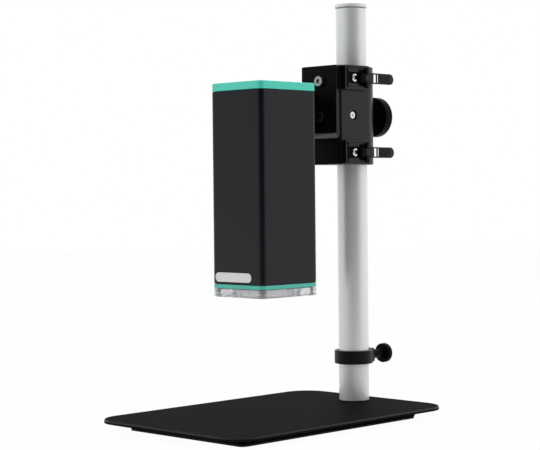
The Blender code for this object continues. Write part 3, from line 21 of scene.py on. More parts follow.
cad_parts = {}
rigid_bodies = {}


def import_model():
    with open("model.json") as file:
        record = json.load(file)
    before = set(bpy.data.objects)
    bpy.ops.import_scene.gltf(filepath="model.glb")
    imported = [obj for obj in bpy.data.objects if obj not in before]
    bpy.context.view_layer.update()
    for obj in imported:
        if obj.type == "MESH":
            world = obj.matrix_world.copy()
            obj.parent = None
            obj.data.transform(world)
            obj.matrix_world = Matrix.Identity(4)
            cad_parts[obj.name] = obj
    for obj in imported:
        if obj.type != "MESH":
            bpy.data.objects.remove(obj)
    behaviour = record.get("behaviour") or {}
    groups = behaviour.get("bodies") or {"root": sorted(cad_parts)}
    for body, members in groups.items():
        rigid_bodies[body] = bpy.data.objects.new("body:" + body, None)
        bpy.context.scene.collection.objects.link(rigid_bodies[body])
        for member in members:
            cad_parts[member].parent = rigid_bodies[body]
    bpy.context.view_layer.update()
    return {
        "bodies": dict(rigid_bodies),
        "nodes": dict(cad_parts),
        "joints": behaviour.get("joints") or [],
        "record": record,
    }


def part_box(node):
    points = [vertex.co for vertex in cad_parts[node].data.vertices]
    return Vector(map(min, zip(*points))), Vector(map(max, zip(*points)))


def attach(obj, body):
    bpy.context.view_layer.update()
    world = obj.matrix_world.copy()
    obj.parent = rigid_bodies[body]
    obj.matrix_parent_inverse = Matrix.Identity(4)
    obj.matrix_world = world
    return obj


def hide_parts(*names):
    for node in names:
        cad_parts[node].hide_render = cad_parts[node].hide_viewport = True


LOG = logging.getLogger("digital_microscope")

# What counts as the same place, what is merged in pieces and in nodes, and what a full rounding leaves
SMALL = 1e-5
MERGE = 1e-7
NODE_MERGE = 1e-6
FLAT = 2e-5

# How far a cutter runs past a face, the room between pieces, and how far off a wanted face may lie
OVER = 0.001
CLEAR = 0.0003
MARGIN = 0.0001

# Share of a face's normal along an axis: over the first it looks that way, and under the second it is a side
# wall, while a chamfer has more than the second along both of its axes
SQUARE_ON = 0.9
ASIDE = 0.3

# Sides of a round piece
SIDES_COLUMN = 128
SIDES = 96
SIDES_BOSS = 64
SIDES_SCREW = 48
SIDES_SMALL = 40
HEXAGON = 6

# Edges below this angle are shaded smooth, in degrees
SMOOTH_BELOW = 32.0
SMOOTH_GRIP = 40.0
SMOOTH_SHEET = 50.0

# Screws of the bracket, the upper one first
BRACKET_SCREWS = ("bracket_screw_upper", "bracket_screw_lower")
HEAD_SCREWS = ("head_screw_upper", "head_screw_lower")

Piece = bpy.types.Object
Nodes = dict[str, Piece]
Tree = bpy.types.NodeTree
Color = tuple[float, float, float]
Point = Sequence[float]
Profile = Sequence[tuple[float, float]]


class Facing(Enum):
    """Way that a piece built along +Z is turned."""

    PLUS_Z = (0.0, 0.0, 1.0)
    MINUS_Z = (0.0, 0.0, -1.0)
    PLUS_X = (1.0, 0.0, 0.0)
    PLUS_Y = (0.0, 1.0, 0.0)
    MINUS_Y = (0.0, -1.0, 0.0)

    @property
    def turn(self) -> Matrix:
        """Rotation from +Z to this direction."""
        return Vector((0.0, 0.0, 1.0)).rotation_difference(Vector(self.value)).to_matrix().to_4x4()


class Joining(Enum):
    """What a body does to the piece that it meets."""

    CUT = "DIFFERENCE"
    WELD = "UNION"


class Pick(Enum):
    """What an edit selects."""

    VERTICES = "VERT"
    EDGES = "EDGE"


# Working on meshes

def select_only(thing: Piece) -> Piece:
    """Leaves one object selected and active.

    Args:
        thing: the object.

    Returns:
        The same object.
    """
    bpy.ops.object.select_all(action="DESELECT")
    thing.select_set(True)
    bpy.context.view_layer.objects.active = thing
    return thing


@contextmanager
def editing(thing: Piece, pick: Pick) -> Iterator[None]:
    """Edit mode on one object, with nothing selected in it at the start.

    Args:
        thing: the object to edit.
        pick: what selections are made of.
    """
    select_only(thing)
    bpy.ops.object.mode_set(mode="EDIT")
    bpy.ops.mesh.select_mode(type=pick.value)
    bpy.ops.mesh.select_all(action="DESELECT")
    yield
    bpy.ops.object.mode_set(mode="OBJECT")


def pick_edges(thing: Piece, wanted: Callable[[Vector, Vector], bool]) -> None:
    """Selects edges of the edited object.

    Args:
        thing: the object in edit mode.
        wanted: test on an edge's two ends.
    """
    bpy.ops.mesh.select_all(action="DESELECT")
    mesh = bmesh.from_edit_mesh(thing.data)
    for edge in mesh.edges:
        if wanted(edge.verts[0].co, edge.verts[1].co):
            edge.select_set(True)
    bmesh.update_edit_mesh(thing.data)


def pick_vertices(thing: Piece, wanted: Callable[[Vector], bool]) -> None:
    """Selects vertices of the edited object.

    Args:
        thing: the object in edit mode.
        wanted: test on a vertex's place.
    """
    bpy.ops.mesh.select_all(action="DESELECT")
    mesh = bmesh.from_edit_mesh(thing.data)
    for vertex in mesh.verts:
        if wanted(vertex.co):
            vertex.select_set(True)
    bmesh.update_edit_mesh(thing.data)


def settle(thing: Piece) -> Piece:
    """Puts an object's place, turn and scale into its mesh.

    Args:
        thing: the object.

    Returns:
        The same object, at the origin.
    """
    select_only(thing)
    bpy.ops.object.transform_apply(location=True, rotation=True, scale=True)
    return thing


def place(thing: Piece, facing: Facing, at: Point) -> Piece:
    """Turns a piece that was built along +Z and moves it.

    Args:
        thing: the piece.
        facing: the direction that its +Z gets.
        at: where its origin goes.

    Returns:
        The same piece, settled.
    """
    thing.matrix_world = Matrix.Translation(Vector(at)) @ facing.turn
    return settle(thing)


def mend(thing: Piece) -> Piece:
    """Merges doubled points and turns the faces outwards.

    Args:
        thing: the piece.

    Returns:
        The same piece.
    """
    with editing(thing, Pick.VERTICES):
        bpy.ops.mesh.select_all(action="SELECT")
        bpy.ops.mesh.remove_doubles(threshold=MERGE)
        bpy.ops.mesh.normals_make_consistent(inside=False)
    return thing


def modify(thing: Piece, kind: str, **settings: object) -> Piece:
    """Adds a modifier and applies it.

    Args:
        thing: the piece.
        kind: the modifier's type.
        settings: its properties.

    Returns:
        The same piece.
    """
    modifier = thing.modifiers.new(kind.lower(), kind)
    for name, value in settings.items():
        setattr(modifier, name, value)
    select_only(thing)
    bpy.ops.object.modifier_apply(modifier=modifier.name)
    return thing


def combine(thing: Piece, joining: Joining, tools: Sequence[Piece]) -> Piece:
    """Cuts tools out of a piece, or joins them to it, and removes them.

    Args:
        thing: the piece.
        joining: what they do to it.
        tools: the bodies.

    Returns:
        The same piece.
    """
    for tool in tools:
        modify(thing, "BOOLEAN", operation=joining.value, solver="EXACT", object=tool)
        bpy.data.objects.remove(tool, do_unlink=True)
    return thing


def carve(thing: Piece, *tools: Piece) -> Piece:
    """Takes tools out of a piece and returns it."""
    return combine(thing, Joining.CUT, tools)


def weld(thing: Piece, *tools: Piece) -> Piece:
    """Joins bodies to a piece and returns it."""
    return combine(thing, Joining.WELD, tools)


def smooth(thing: Piece, degrees: float) -> Piece:
    """Shades round faces smooth, keeps edges above an angle sharp and leaves flat faces flat.

    Args:
        thing: the piece.
        degrees: the angle.

    Returns:
        The same piece.
    """
    select_only(thing)
    bpy.ops.object.shade_smooth_by_angle(angle=math.radians(degrees))
    return modify(thing, "WEIGHTED_NORMAL", keep_sharp=True, weight=100)


def duplicate(thing: Piece, name: str, shift: Point) -> Piece:
    """Copies a piece, with its own mesh, to another place.

    Args:
        thing: the piece.
        name: the copy's name.
        shift: the way from the piece to its copy.

    Returns:
        The copy.
    """
    select_only(thing)
    bpy.ops.object.duplicate(linked=False)
    twin = bpy.context.active_object
    twin.name = name
    twin.location = Vector(shift)
    return settle(twin)


def bevel_selected(width: float, steps: int) -> None:
    """Rounds the selected edges in edit mode.

    Args:
        width: the rounding's reach.
        steps: segments across it.
    """
    bpy.ops.mesh.bevel(offset=width, segments=steps, affect="EDGES", profile=0.5, clamp_overlap=True)


def faces_front(normal: Vector) -> bool:
    """Whether a face looks forwards, to -Y."""
    return normal.y < -SQUARE_ON


def centre(name: str) -> Vector:
    """Middle of a node's box."""
    low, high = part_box(name)
    return (low + high) / 2


# Basic bodies

def primitive(name: str, add: Callable[..., object], **settings: object) -> Piece:
    """Adds a primitive with nothing else selected.

    Args:
        name: the piece's name.
        add: the operator that adds it.
        settings: its sizes and its place.

    Returns:
        The piece, settled.
    """
    bpy.ops.object.select_all(action="DESELECT")
    add(**settings)
    thing = bpy.context.active_object
    thing.name = name
    return settle(thing)


def turned(name: str, profile: Profile, steps: int = SIDES) -> Piece:
    """Round body about Z, drawn out of a circle ring by ring.

    Args:
        name: the piece's name.
        profile: radii and heights. Where the last pair repeats the first the body is a ring, and otherwise
            both ends get a flat face.
        steps: sides of the circle.

    Returns:
        The piece.
    """
    radius, height = profile[0]
    add = bpy.ops.mesh.primitive_circle_add
    thing = primitive(name, add, vertices=steps, radius=radius, location=(0.0, 0.0, height))
    with editing(thing, Pick.EDGES):
        bpy.ops.mesh.select_all(action="SELECT")
        for (from_radius, from_height), (to_radius, to_height) in zip(profile, profile[1:]):
            rise = (0.0, 0.0, to_height - from_height)
            bpy.ops.mesh.extrude_edges_move(TRANSFORM_OT_translate={"value": rise})
            ratio = to_radius / from_radius
            bpy.ops.transform.resize(value=(ratio, ratio, 1.0), center_override=(0.0, 0.0, 0.0))
        bpy.ops.mesh.select_all(action="SELECT")
        bpy.ops.mesh.remove_doubles(threshold=MERGE)
        if profile[0] != profile[-1]:
            bpy.ops.mesh.select_all(action="SELECT")
            bpy.ops.mesh.fill_holes(sides=0)
        bpy.ops.mesh.select_all(action="SELECT")
        bpy.ops.mesh.normals_make_consistent(inside=False)
    return thing


def rod(name: str, radius: float, low: float, high: float, steps: int = SIDES_SCREW) -> Piece:
    """Plain round bar along Z, used to cut holes and as a start for round pieces.

    Args:
        name: the piece's name.
        radius: its radius.
        low: height of one end.
        high: height of the other.
        steps: sides of the circle.

    Returns:
        The piece.
    """
    middle = (0.0, 0.0, (low + high) / 2)
    add = bpy.ops.mesh.primitive_cylinder_add
    return primitive(name, add, vertices=steps, radius=radius, depth=high - low, location=middle)


def drill(thing: Piece, radius: float, depth: tuple[float, float], facing: Facing, at: Point) -> None:
    """Carves a round hole.

    Args:
        thing: the piece.
        radius: the hole's radius.
        depth: where it starts and ends, along the way that it faces.
        facing: the way that it faces.
        at: where its depth is 0.
    """
    carve(thing, place(rod("hole", radius, *depth), facing, at))


@dataclass
class RoundedBlock:
    """Block between two corners, with its upright edges rounded, and then its top and bottom rims."""

    low: Point
    high: Point
    corner: float
    corner_steps: int = 10
    top: float = 0.0
    bottom: float = 0.0
    rim_steps: int = 3

    def build(self, name: str) -> Piece:
        """Models the block.

        Args:
            name: the piece's name.

        Returns:
            The piece.
        """
        low = Vector(self.low)
        high = Vector(self.high)
        add = bpy.ops.mesh.primitive_cube_add
        thing = primitive(name, add, size=1.0, location=(low + high) / 2, scale=high - low)
        with editing(thing, Pick.EDGES):
            if self.corner:
                pick_edges(thing, lambda a, b: abs(a.z - b.z) > SMALL)
                bevel_selected(self.corner, self.corner_steps)
            if self.top:
                pick_edges(thing, lambda a, b: min(a.z, b.z) > high.z - SMALL)
                bevel_selected(self.top, self.rim_steps)
            if self.bottom:
                pick_edges(thing, lambda a, b: max(a.z, b.z) < low.z + SMALL)
                bevel_selected(self.bottom, self.rim_steps)
        return thing


# Groups that several finishes share

class Socket(Enum):
    """Kind of a group's socket."""

    FLOAT = "NodeSocketFloat"
    VECTOR = "NodeSocketVector"
    COLOR = "NodeSocketColor"


GREY = (0.5, 0.5, 0.5, 1.0)
WHITE = (1.0, 1.0, 1.0, 1.0)
DUST_COLOR = (0.45, 0.44, 0.42, 1.0)
DUST_SCALE = 55.0
DUST_DETAIL = 5.0
GRAIN_ROUGHNESS = 0.6

# Places of the colours on a Mix node
MIX_FIRST = 6
MIX_SECOND = 7
MIX_RESULT = 2


def new_group(name: str, takes: dict[str, tuple[Socket, object]], gives: dict[str, Socket]) -> Tree:
    """Shader group with named sockets.

    Args:
        name: the group's name.
        takes: inputs, each with its kind and its default.
        gives: outputs, each with its kind.

    Returns:
        The group, with its two end nodes in place.
    """
    group = bpy.data.node_groups.new(name, "ShaderNodeTree")
    for label, (kind, value) in takes.items():
        socket = group.interface.new_socket(name=label, in_out="INPUT", socket_type=kind.value)
        socket.default_value = value
    for label, kind in gives.items():
        group.interface.new_socket(name=label, in_out="OUTPUT", socket_type=kind.value)
    group.nodes.new("NodeGroupInput").name = "takes"
    group.nodes.new("NodeGroupOutput").name = "gives"
    return group


def fill(tree: Tree, node: bpy.types.Node, inputs: dict[str | int, object]) -> None:
    """Sets inputs of a node.

    Args:
        tree: the node's tree.
        node: the node.
        inputs: a number, a colour or another node's output for each.
    """
    for name, value in inputs.items():
        if isinstance(value, bpy.types.NodeSocket):
            tree.links.new(value, node.inputs[name])
        else:
            node.inputs[name].default_value = value


def wire(tree: Tree, kind: str, inputs: dict[str | int, object], **settings: object) -> bpy.types.Node:
    """Adds a shader node.

    Args:
        tree: where it goes.
        kind: its type, without the word ShaderNode.
        inputs: what its inputs are set to.
        settings: its properties, which are set first.

    Returns:
        The node.
    """
    node = tree.nodes.new(f"ShaderNode{kind}")
    for name, value in settings.items():
        setattr(node, name, value)
    fill(tree, node, inputs)
    return node


def math_node(tree: Tree, operation: str, *values: object) -> bpy.types.NodeSocket:
    """Output of a math node whose inputs are numbers or sockets."""
    return wire(tree, "Math", dict(enumerate(values)), operation=operation).outputs[0]


def grain_group() -> Tree:
    """Fine texture of a surface in Object coordinates, which a stretch turns into drawn streaks.

    Returns:
        The group, from Stretch, Scale and Detail to Value.
    """
    group = new_group(
        "fine_grain",
        {
            "Stretch": (Socket.VECTOR, (1.0, 1.0, 1.0)),
            "Scale": (Socket.FLOAT, 2000.0),
            "Detail": (Socket.FLOAT, 2.0),
        },
        {"Value": Socket.FLOAT},
    )
    takes = group.nodes["takes"].outputs
    spot = wire(group, "TexCoord", {}).outputs["Object"]
    drawn = wire(group, "VectorMath", {0: spot, 1: takes["Stretch"]}, operation="MULTIPLY")
    noise = wire(
        group,
        "TexNoise",
        {
            "Vector": drawn.outputs["Vector"],
            "Scale": takes["Scale"],
            "Detail": takes["Detail"],
            "Roughness": GRAIN_ROUGHNESS,
        },
    )
    fill(group, group.nodes["gives"], {"Value": noise.outputs["Fac"]})
    return group


def tone_group() -> Tree:
    """Colour and roughness that vary with a grain.

    Returns:
        The group, from Color, Roughness, Value, Tone Spread and Gloss Spread to Color and Roughness.
    """
    group = new_group(
        "tone_and_gloss",
        {
            "Color": (Socket.COLOR, GREY),
            "Roughness": (Socket.FLOAT, 0.5),
            "Value": (Socket.FLOAT, 0.5),
            "Tone Spread": (Socket.FLOAT, 0.1),
            "Gloss Spread": (Socket.FLOAT, 0.1),
        },
        {"Color": Socket.COLOR, "Roughness": Socket.FLOAT},
    )
    takes = group.nodes["takes"].outputs
    centred = math_node(group, "SUBTRACT", takes["Value"], 0.5)
    tone = math_node(group, "MULTIPLY_ADD", centred, takes["Tone Spread"], 1.0)
    color = wire(group, "VectorMath", {0: takes["Color"], "Scale": tone}, operation="SCALE")
    gloss = math_node(group, "MULTIPLY_ADD", centred, takes["Gloss Spread"], takes["Roughness"])
    fill(group, group.nodes["gives"], {"Color": color.outputs["Vector"], "Roughness": gloss})
    return group


def dust_group() -> Tree:
    """Thin dust on what faces up.

    Returns:
        The group, from Color, Roughness and Amount to Color and Roughness.
    """
    group = new_group(
        "settled_dust",
        {
            "Color": (Socket.COLOR, GREY),
            "Roughness": (Socket.FLOAT, 0.5),
            "Amount": (Socket.FLOAT, 0.02),
        },
        {"Color": Socket.COLOR, "Roughness": Socket.FLOAT},
    )
    takes = group.nodes["takes"].outputs
    facing = wire(group, "SeparateXYZ", {0: wire(group, "NewGeometry", {}).outputs["Normal"]})
    up = math_node(group, "MAXIMUM", facing.outputs["Z"], 0.0)
    spot = wire(group, "TexCoord", {}).outputs["Object"]
    patches = wire(group, "TexNoise", {"Vector": spot, "Scale": DUST_SCALE, "Detail": DUST_DETAIL})
    spread = math_node(group, "MULTIPLY", up, patches.outputs["Fac"])
    mask = math_node(group, "MULTIPLY", spread, takes["Amount"])
    colors = {"Factor": mask, MIX_FIRST: takes["Color"], MIX_SECOND: DUST_COLOR}
    mixed = wire(group, "Mix", colors, data_type="RGBA").outputs[MIX_RESULT]
    rough = math_node(group, "ADD", takes["Roughness"], mask)
    fill(group, group.nodes["gives"], {"Color": mixed, "Roughness": rough})
    return group


@dataclass
class SharedEffects:
    """The groups that the finishes use, each built once."""

    grain: Tree = field(default_factory=grain_group)
    tone: Tree = field(default_factory=tone_group)
    dust: Tree = field(default_factory=dust_group)


# Finishes

@dataclass(frozen=True)
class Texture:
    """Relief and unevenness of a surface.

    The scale is in grains per metre, the depth in metres, and the stretch below 1 draws the grain out along
    that axis.
    """

    scale: float
    depth: float
    strength: float = 0.4
    tone: float = 0.1
    gloss: float = 0.1
    detail: float = 2.0
    stretch: tuple[float, float, float] = (1.0, 1.0, 1.0)


COAT_ROUGHNESS = 0.12


@dataclass(frozen=True)
class Finish:
    """One finish of the object, and the record's slot that it belongs to."""

    name: str
    slot: str
    color: Color
    roughness: float
    texture: Texture
    metallic: float = 0.0
    specular: float = 0.5
    coat: float = 0.0
    transmission: float = 0.0
    ior: float = 1.5
    dust: float = 0.0
    drawn: float = 0.0

    def build(self, effects: SharedEffects) -> bpy.types.Material:
        """Makes the material.

        Args:
            effects: the shared groups.

        Returns:
            The material.
        """
        material = bpy.data.materials.new(self.name)
        material.use_nodes = True
        tree = material.node_tree
        texture = self.texture
        kind = {"Stretch": texture.stretch, "Scale": texture.scale, "Detail": texture.detail}
        grain = wire(tree, "Group", kind, node_tree=effects.grain).outputs["Value"]
        shades = {
            "Color": (*self.color, 1.0),
            "Roughness": self.roughness,
            "Value": grain,
            "Tone Spread": texture.tone,
            "Gloss Spread": texture.gloss,
        }
        surface = wire(tree, "Group", shades, node_tree=effects.tone).outputs
        if self.dust:
            under = {"Color": surface["Color"], "Roughness": surface["Roughness"], "Amount": self.dust}
            surface = wire(tree, "Group", under, node_tree=effects.dust).outputs
        relief = {"Strength": texture.strength, "Distance": texture.depth, "Height": grain}
        shader = {
            "Base Color": surface["Color"],
            "Roughness": surface["Roughness"],
            "Normal": wire(tree, "Bump", relief).outputs["Normal"],
            "Metallic": self.metallic,
            "Specular IOR Level": self.specular,
            "Coat Weight": self.coat,
            "Coat Roughness": COAT_ROUGHNESS,
            "Transmission Weight": self.transmission,
            "IOR": self.ior,
        }
        if self.drawn:
            around = wire(tree, "Tangent", {}, direction_type="RADIAL", axis="Z")
            shader |= {"Tangent": around.outputs["Tangent"], "Anisotropic": self.drawn}
        fill(tree, tree.nodes["Principled BSDF"], shader)
        return material


# Grains that several finishes share

ANODISED_GRAIN = Texture(5200.0, 0.00002, strength=0.35, tone=0.25, gloss=0.12)
KNOB_GRAIN = Texture(3000.0, 0.00003, strength=0.35, tone=0.20, gloss=0.15)
TEAL_GRAIN = Texture(3600.0, 0.00002, strength=0.25, tone=0.05, gloss=0.10)
STEEL_GRAIN = Texture(3000.0, 0.00001, strength=0.25, tone=0.20, gloss=0.15)

POWDER_COAT = Finish(
    "powder_coat", "powder_black", (0.0074, 0.0074, 0.0077), 0.60,
    Texture(1500.0, 0.00008, strength=0.35, tone=0.30, gloss=0.15, detail=3.0), specular=0.006, dust=0.002,
)
# Powder coat for the base plate's rounded upper edge: a lighter colour as a painted highlight, with real extra
# gloss
EDGE_HIGHLIGHT_COAT = Finish(
    "powder_coat_painted_edge_highlight", "powder_black", (0.0140, 0.0140, 0.0144), 0.40,
    Texture(1500.0, 0.00004, strength=0.25, tone=0.30, gloss=0.15, detail=3.0), specular=0.20,
)
BLACK_ANODISED = Finish(
    "black_anodised", "anodised_black", (0.0032, 0.0032, 0.0040), 0.32,
    ANODISED_GRAIN, specular=0.29, dust=0.002,
)
# Darker, duller copy of the black anodising for front faces behind the microscope: painted shade
SHADED_FRONT_ANODISED = Finish(
    "anodised_painted_shade", "anodised_black", (0.0030, 0.0030, 0.0033), 0.40,
    ANODISED_GRAIN, specular=0.05,
)
COLLAR_ANODISED = Finish(
    "collar_anodised", "anodised_black", (0.0032, 0.0032, 0.0036), 0.38,
    ANODISED_GRAIN, specular=0.16,
)
# Light grey for faces that catch light: painted highlight on the bracket's lower chamfer and on each clip's far
# wall
PAINTED_LIT_EDGE = Finish(
    "painted_lit_edge", "anodised_black", (0.086, 0.086, 0.090), 0.36,
    Texture(5200.0, 0.00002, strength=0.35, tone=0.40, gloss=0.15, stretch=(0.1, 1.0, 1.0)), specular=0.5,
)
HOUSING_ANODISED = Finish(
    "housing_anodised", "anodised_black", (0.0028, 0.0028, 0.0064), 0.30,
    Texture(3600.0, 0.00002, strength=0.30, tone=0.22, gloss=0.10, stretch=(1.0, 1.0, 0.25)), specular=0.27,
)
BRIGHT_ANODISED = Finish(
    "bright_anodised", "anodised_silver", (0.83, 0.83, 0.845), 0.30,
    Texture(2600.0, 0.00001, strength=0.12, tone=0.04, gloss=0.08, detail=3.0, stretch=(1.0, 1.0, 0.012)),
    metallic=0.33, drawn=0.4,
)
TURNED_RIM = Finish(
    "turned_rim", "anodised_silver", (0.26, 0.26, 0.27), 0.26,
    Texture(2600.0, 0.00001, strength=0.12, tone=0.04, gloss=0.08, stretch=(0.1, 0.1, 1.0)), metallic=0.8,
)
MOULDED_BLACK = Finish(
    "moulded_black", "plastic_black", (0.0055, 0.0055, 0.0060), 0.36,
    Texture(3800.0, 0.00003, strength=0.35, tone=0.20, gloss=0.12), specular=0.30, dust=0.002,
)
KNOB_BLACK = Finish(
    "knob_black", "plastic_black", (0.0020, 0.0020, 0.0022), 0.42,
    KNOB_GRAIN, specular=0.05,
)
# Blacker, duller plastic for hollows and shaded faces of the cable clips: painted shade
PAINTED_SHADE_BLACK = Finish(
    "painted_shade_black", "plastic_black", (0.0012, 0.0012, 0.0013), 0.50,
    KNOB_GRAIN, specular=0.04,
)
TEAL = Finish(
    "teal_moulding", "plastic_teal", (0.075, 0.700, 0.545), 0.42,
    TEAL_GRAIN, specular=0.45,
)
TEAL_RING = Finish(
    "teal_ring_moulding", "plastic_teal", (0.085, 0.530, 0.430), 0.42,
    TEAL_GRAIN, specular=0.40,
)
CLEAR_ACRYLIC = Finish(
    "clear_acrylic", "plastic_clear", (0.91, 0.92, 0.94), 0.14,
    Texture(900.0, 0.00004, strength=0.20, tone=0.02, gloss=0.06), transmission=0.74, ior=1.49,
)
FROSTED_ACRYLIC = Finish(
    "frosted_acrylic", "plastic_clear", (0.86, 0.88, 0.90), 0.55,
    Texture(3000.0, 0.00004, strength=0.40, tone=0.03, gloss=0.10), transmission=0.55, ior=1.49,
)
LABEL_PLATE = Finish(
    "label_satin", "label_white", (0.80, 0.80, 0.79), 0.28,
    Texture(2400.0, 0.00001, strength=0.20, tone=0.03, gloss=0.08, stretch=(0.05, 1.0, 1.0)),
)
RUBBER = Finish(
    "non_slip_rubber", "rubber", (0.0120, 0.0120, 0.0120), 0.80,
    Texture(1200.0, 0.00015, strength=0.60, tone=0.25, gloss=0.10, detail=3.0), specular=0.25,
)
ZINC_STEEL = Finish(
    "zinc_steel", "steel", (0.74, 0.74, 0.75), 0.20,
    Texture(2600.0, 0.00001, strength=0.25, tone=0.12, gloss=0.15), metallic=1.0,
)
GREY_STEEL = Finish(
    "grey_steel", "steel", (0.40, 0.40, 0.41), 0.34,
    STEEL_GRAIN, metallic=1.0,
)
# Black oxide steel of the black screws, and painted shade on the lower bracket screw
BLACK_STEEL_AND_SHADE = Finish(
    "black_oxide_steel_and_painted_shade", "steel", (0.045, 0.045, 0.050), 0.34,
    STEEL_GRAIN, metallic=0.8,
)
BRASS = Finish(
    "turned_brass", "brass", (0.76, 0.55, 0.22), 0.26,
    Texture(2400.0, 0.00001, strength=0.25, tone=0.10, gloss=0.15, stretch=(0.1, 1.0, 0.1)), metallic=1.0,
)
LENS_GLASS = Finish(
    "coated_glass", "glass", (0.93, 0.96, 0.98), 0.02,
    Texture(200.0, 0.0, strength=0.0, tone=0.0, gloss=0.0), transmission=1.0, ior=1.62, coat=0.6,
)
SOLDER_RESIST = Finish(
    "green_solder_resist", "board_green", (0.012, 0.130, 0.045), 0.32,
    Texture(1100.0, 0.00003, strength=0.40, tone=0.55, gloss=0.15, detail=0.0), coat=0.3,
)
SENSOR_DIE = Finish(
    "sensor_cover", "glass", (0.050, 0.060, 0.080), 0.08,
    Texture(1500.0, 0.0, strength=0.0, tone=0.2, gloss=0.02), coat=0.8,
)
LED_BODY = Finish(
    "led_body", "label_white", (0.78, 0.77, 0.72), 0.40,
    Texture(3000.0, 0.00001, strength=0.2, tone=0.05, gloss=0.1),
)
LED_PHOSPHOR = Finish(
    "led_phosphor", "label_white", (0.85, 0.62, 0.10), 0.22,
    Texture(3000.0, 0.00001, strength=0.2, tone=0.08, gloss=0.1), coat=0.6,
)
CONTACT_GOLD = Finish(
    "contact_gold", "brass", (0.86, 0.62, 0.25), 0.20,
    Texture(2600.0, 0.0, strength=0.0, tone=0.05, gloss=0.1), metallic=1.0,
)


@dataclass
class Paintbox:
    """Builds each finish once and puts it on pieces."""

    effects: SharedEffects = field(default_factory=SharedEffects)
    made: dict[str, bpy.types.Material] = field(default_factory=dict)

    def material(self, finish: Finish) -> bpy.types.Material:
        """The finish's material, made on first use."""
        if finish.name not in self.made:
            self.made[finish.name] = finish.build(self.effects)
        return self.made[finish.name]

    def coat(self, thing: Piece, finish: Finish) -> None:
        """Gives a piece one finish all over."""
        thing.data.materials.clear()
        thing.data.materials.append(self.material(finish))

    def coat_faces(self, thing: Piece, finish: Finish, wanted: Callable[[Vector, Vector], bool]) -> None:
        """Gives some faces of a coated piece a second finish.

        Args:
            thing: the piece.
            finish: the second finish.
            wanted: test on a face's middle and its normal.
        """
        material = self.material(finish)
        if material.name not in thing.data.materials:
            thing.data.materials.append(material)
        number = thing.data.materials.find(material.name)
        count = 0
        for face in thing.data.polygons:
            if wanted(face.center, face.normal):
                face.material_index = number
                count += 1
        LOG.info("%s has %d faces in %s", thing.name, count, finish.name)


@dataclass
class Assembly:
    """What every sub-assembly shares: finishes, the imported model's nodes, its body and how pieces join it."""

    paint: Paintbox
    nodes: Nodes
    body: str

    def add(
        self,
        thing: Piece,
        finish: Finish,
        replaces: Sequence[str] = (),
        body: str = "",
        angle: float = SMOOTH_BELOW,
    ) -> None:
        """Smooths, coats and mounts a new piece.

        Args:
            thing: the piece, in place.
            finish: its finish.
            replaces: the nodes that it stands for.
            body: the body that it rides on, where it isn't the assembly's own.
            angle: edges above this stay sharp.
        """
        smooth(thing, angle)
        self.paint.coat(thing, finish)
        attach(thing, body or self.body)
        if replaces:
            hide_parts(*replaces)
        LOG.info("%s rides on %s, in %s", thing.name, body or self.body, finish.name)

    def keep(self, finish: Finish, *names: str) -> None:
        """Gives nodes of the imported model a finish, and leaves their shapes."""
        for name in names:
            self.paint.coat(self.nodes[name], finish)
            LOG.info("%s is kept, in %s", name, finish.name)

    def resurface(self, name: str, finish: Finish, body: str = "") -> None:
        """Copies a round node, merges its triangles and smooths it, in place of the node.

        Args:
            name: the node's name.
            finish: the copy's finish.
            body: the body that it rides on, where it isn't the assembly's own.
        """
        select_only(self.nodes[name])
        bpy.ops.object.duplicate(linked=False)
        copy = bpy.context.active_object
        copy.name = f"{name}_surface"
        copy.parent = None
        for key in list(copy.keys()):
            del copy[key]
        with editing(copy, Pick.VERTICES):
            bpy.ops.mesh.select_all(action="SELECT")
            bpy.ops.mesh.remove_doubles(threshold=NODE_MERGE)
        self.add(copy, finish, (name,), body)


# Stand

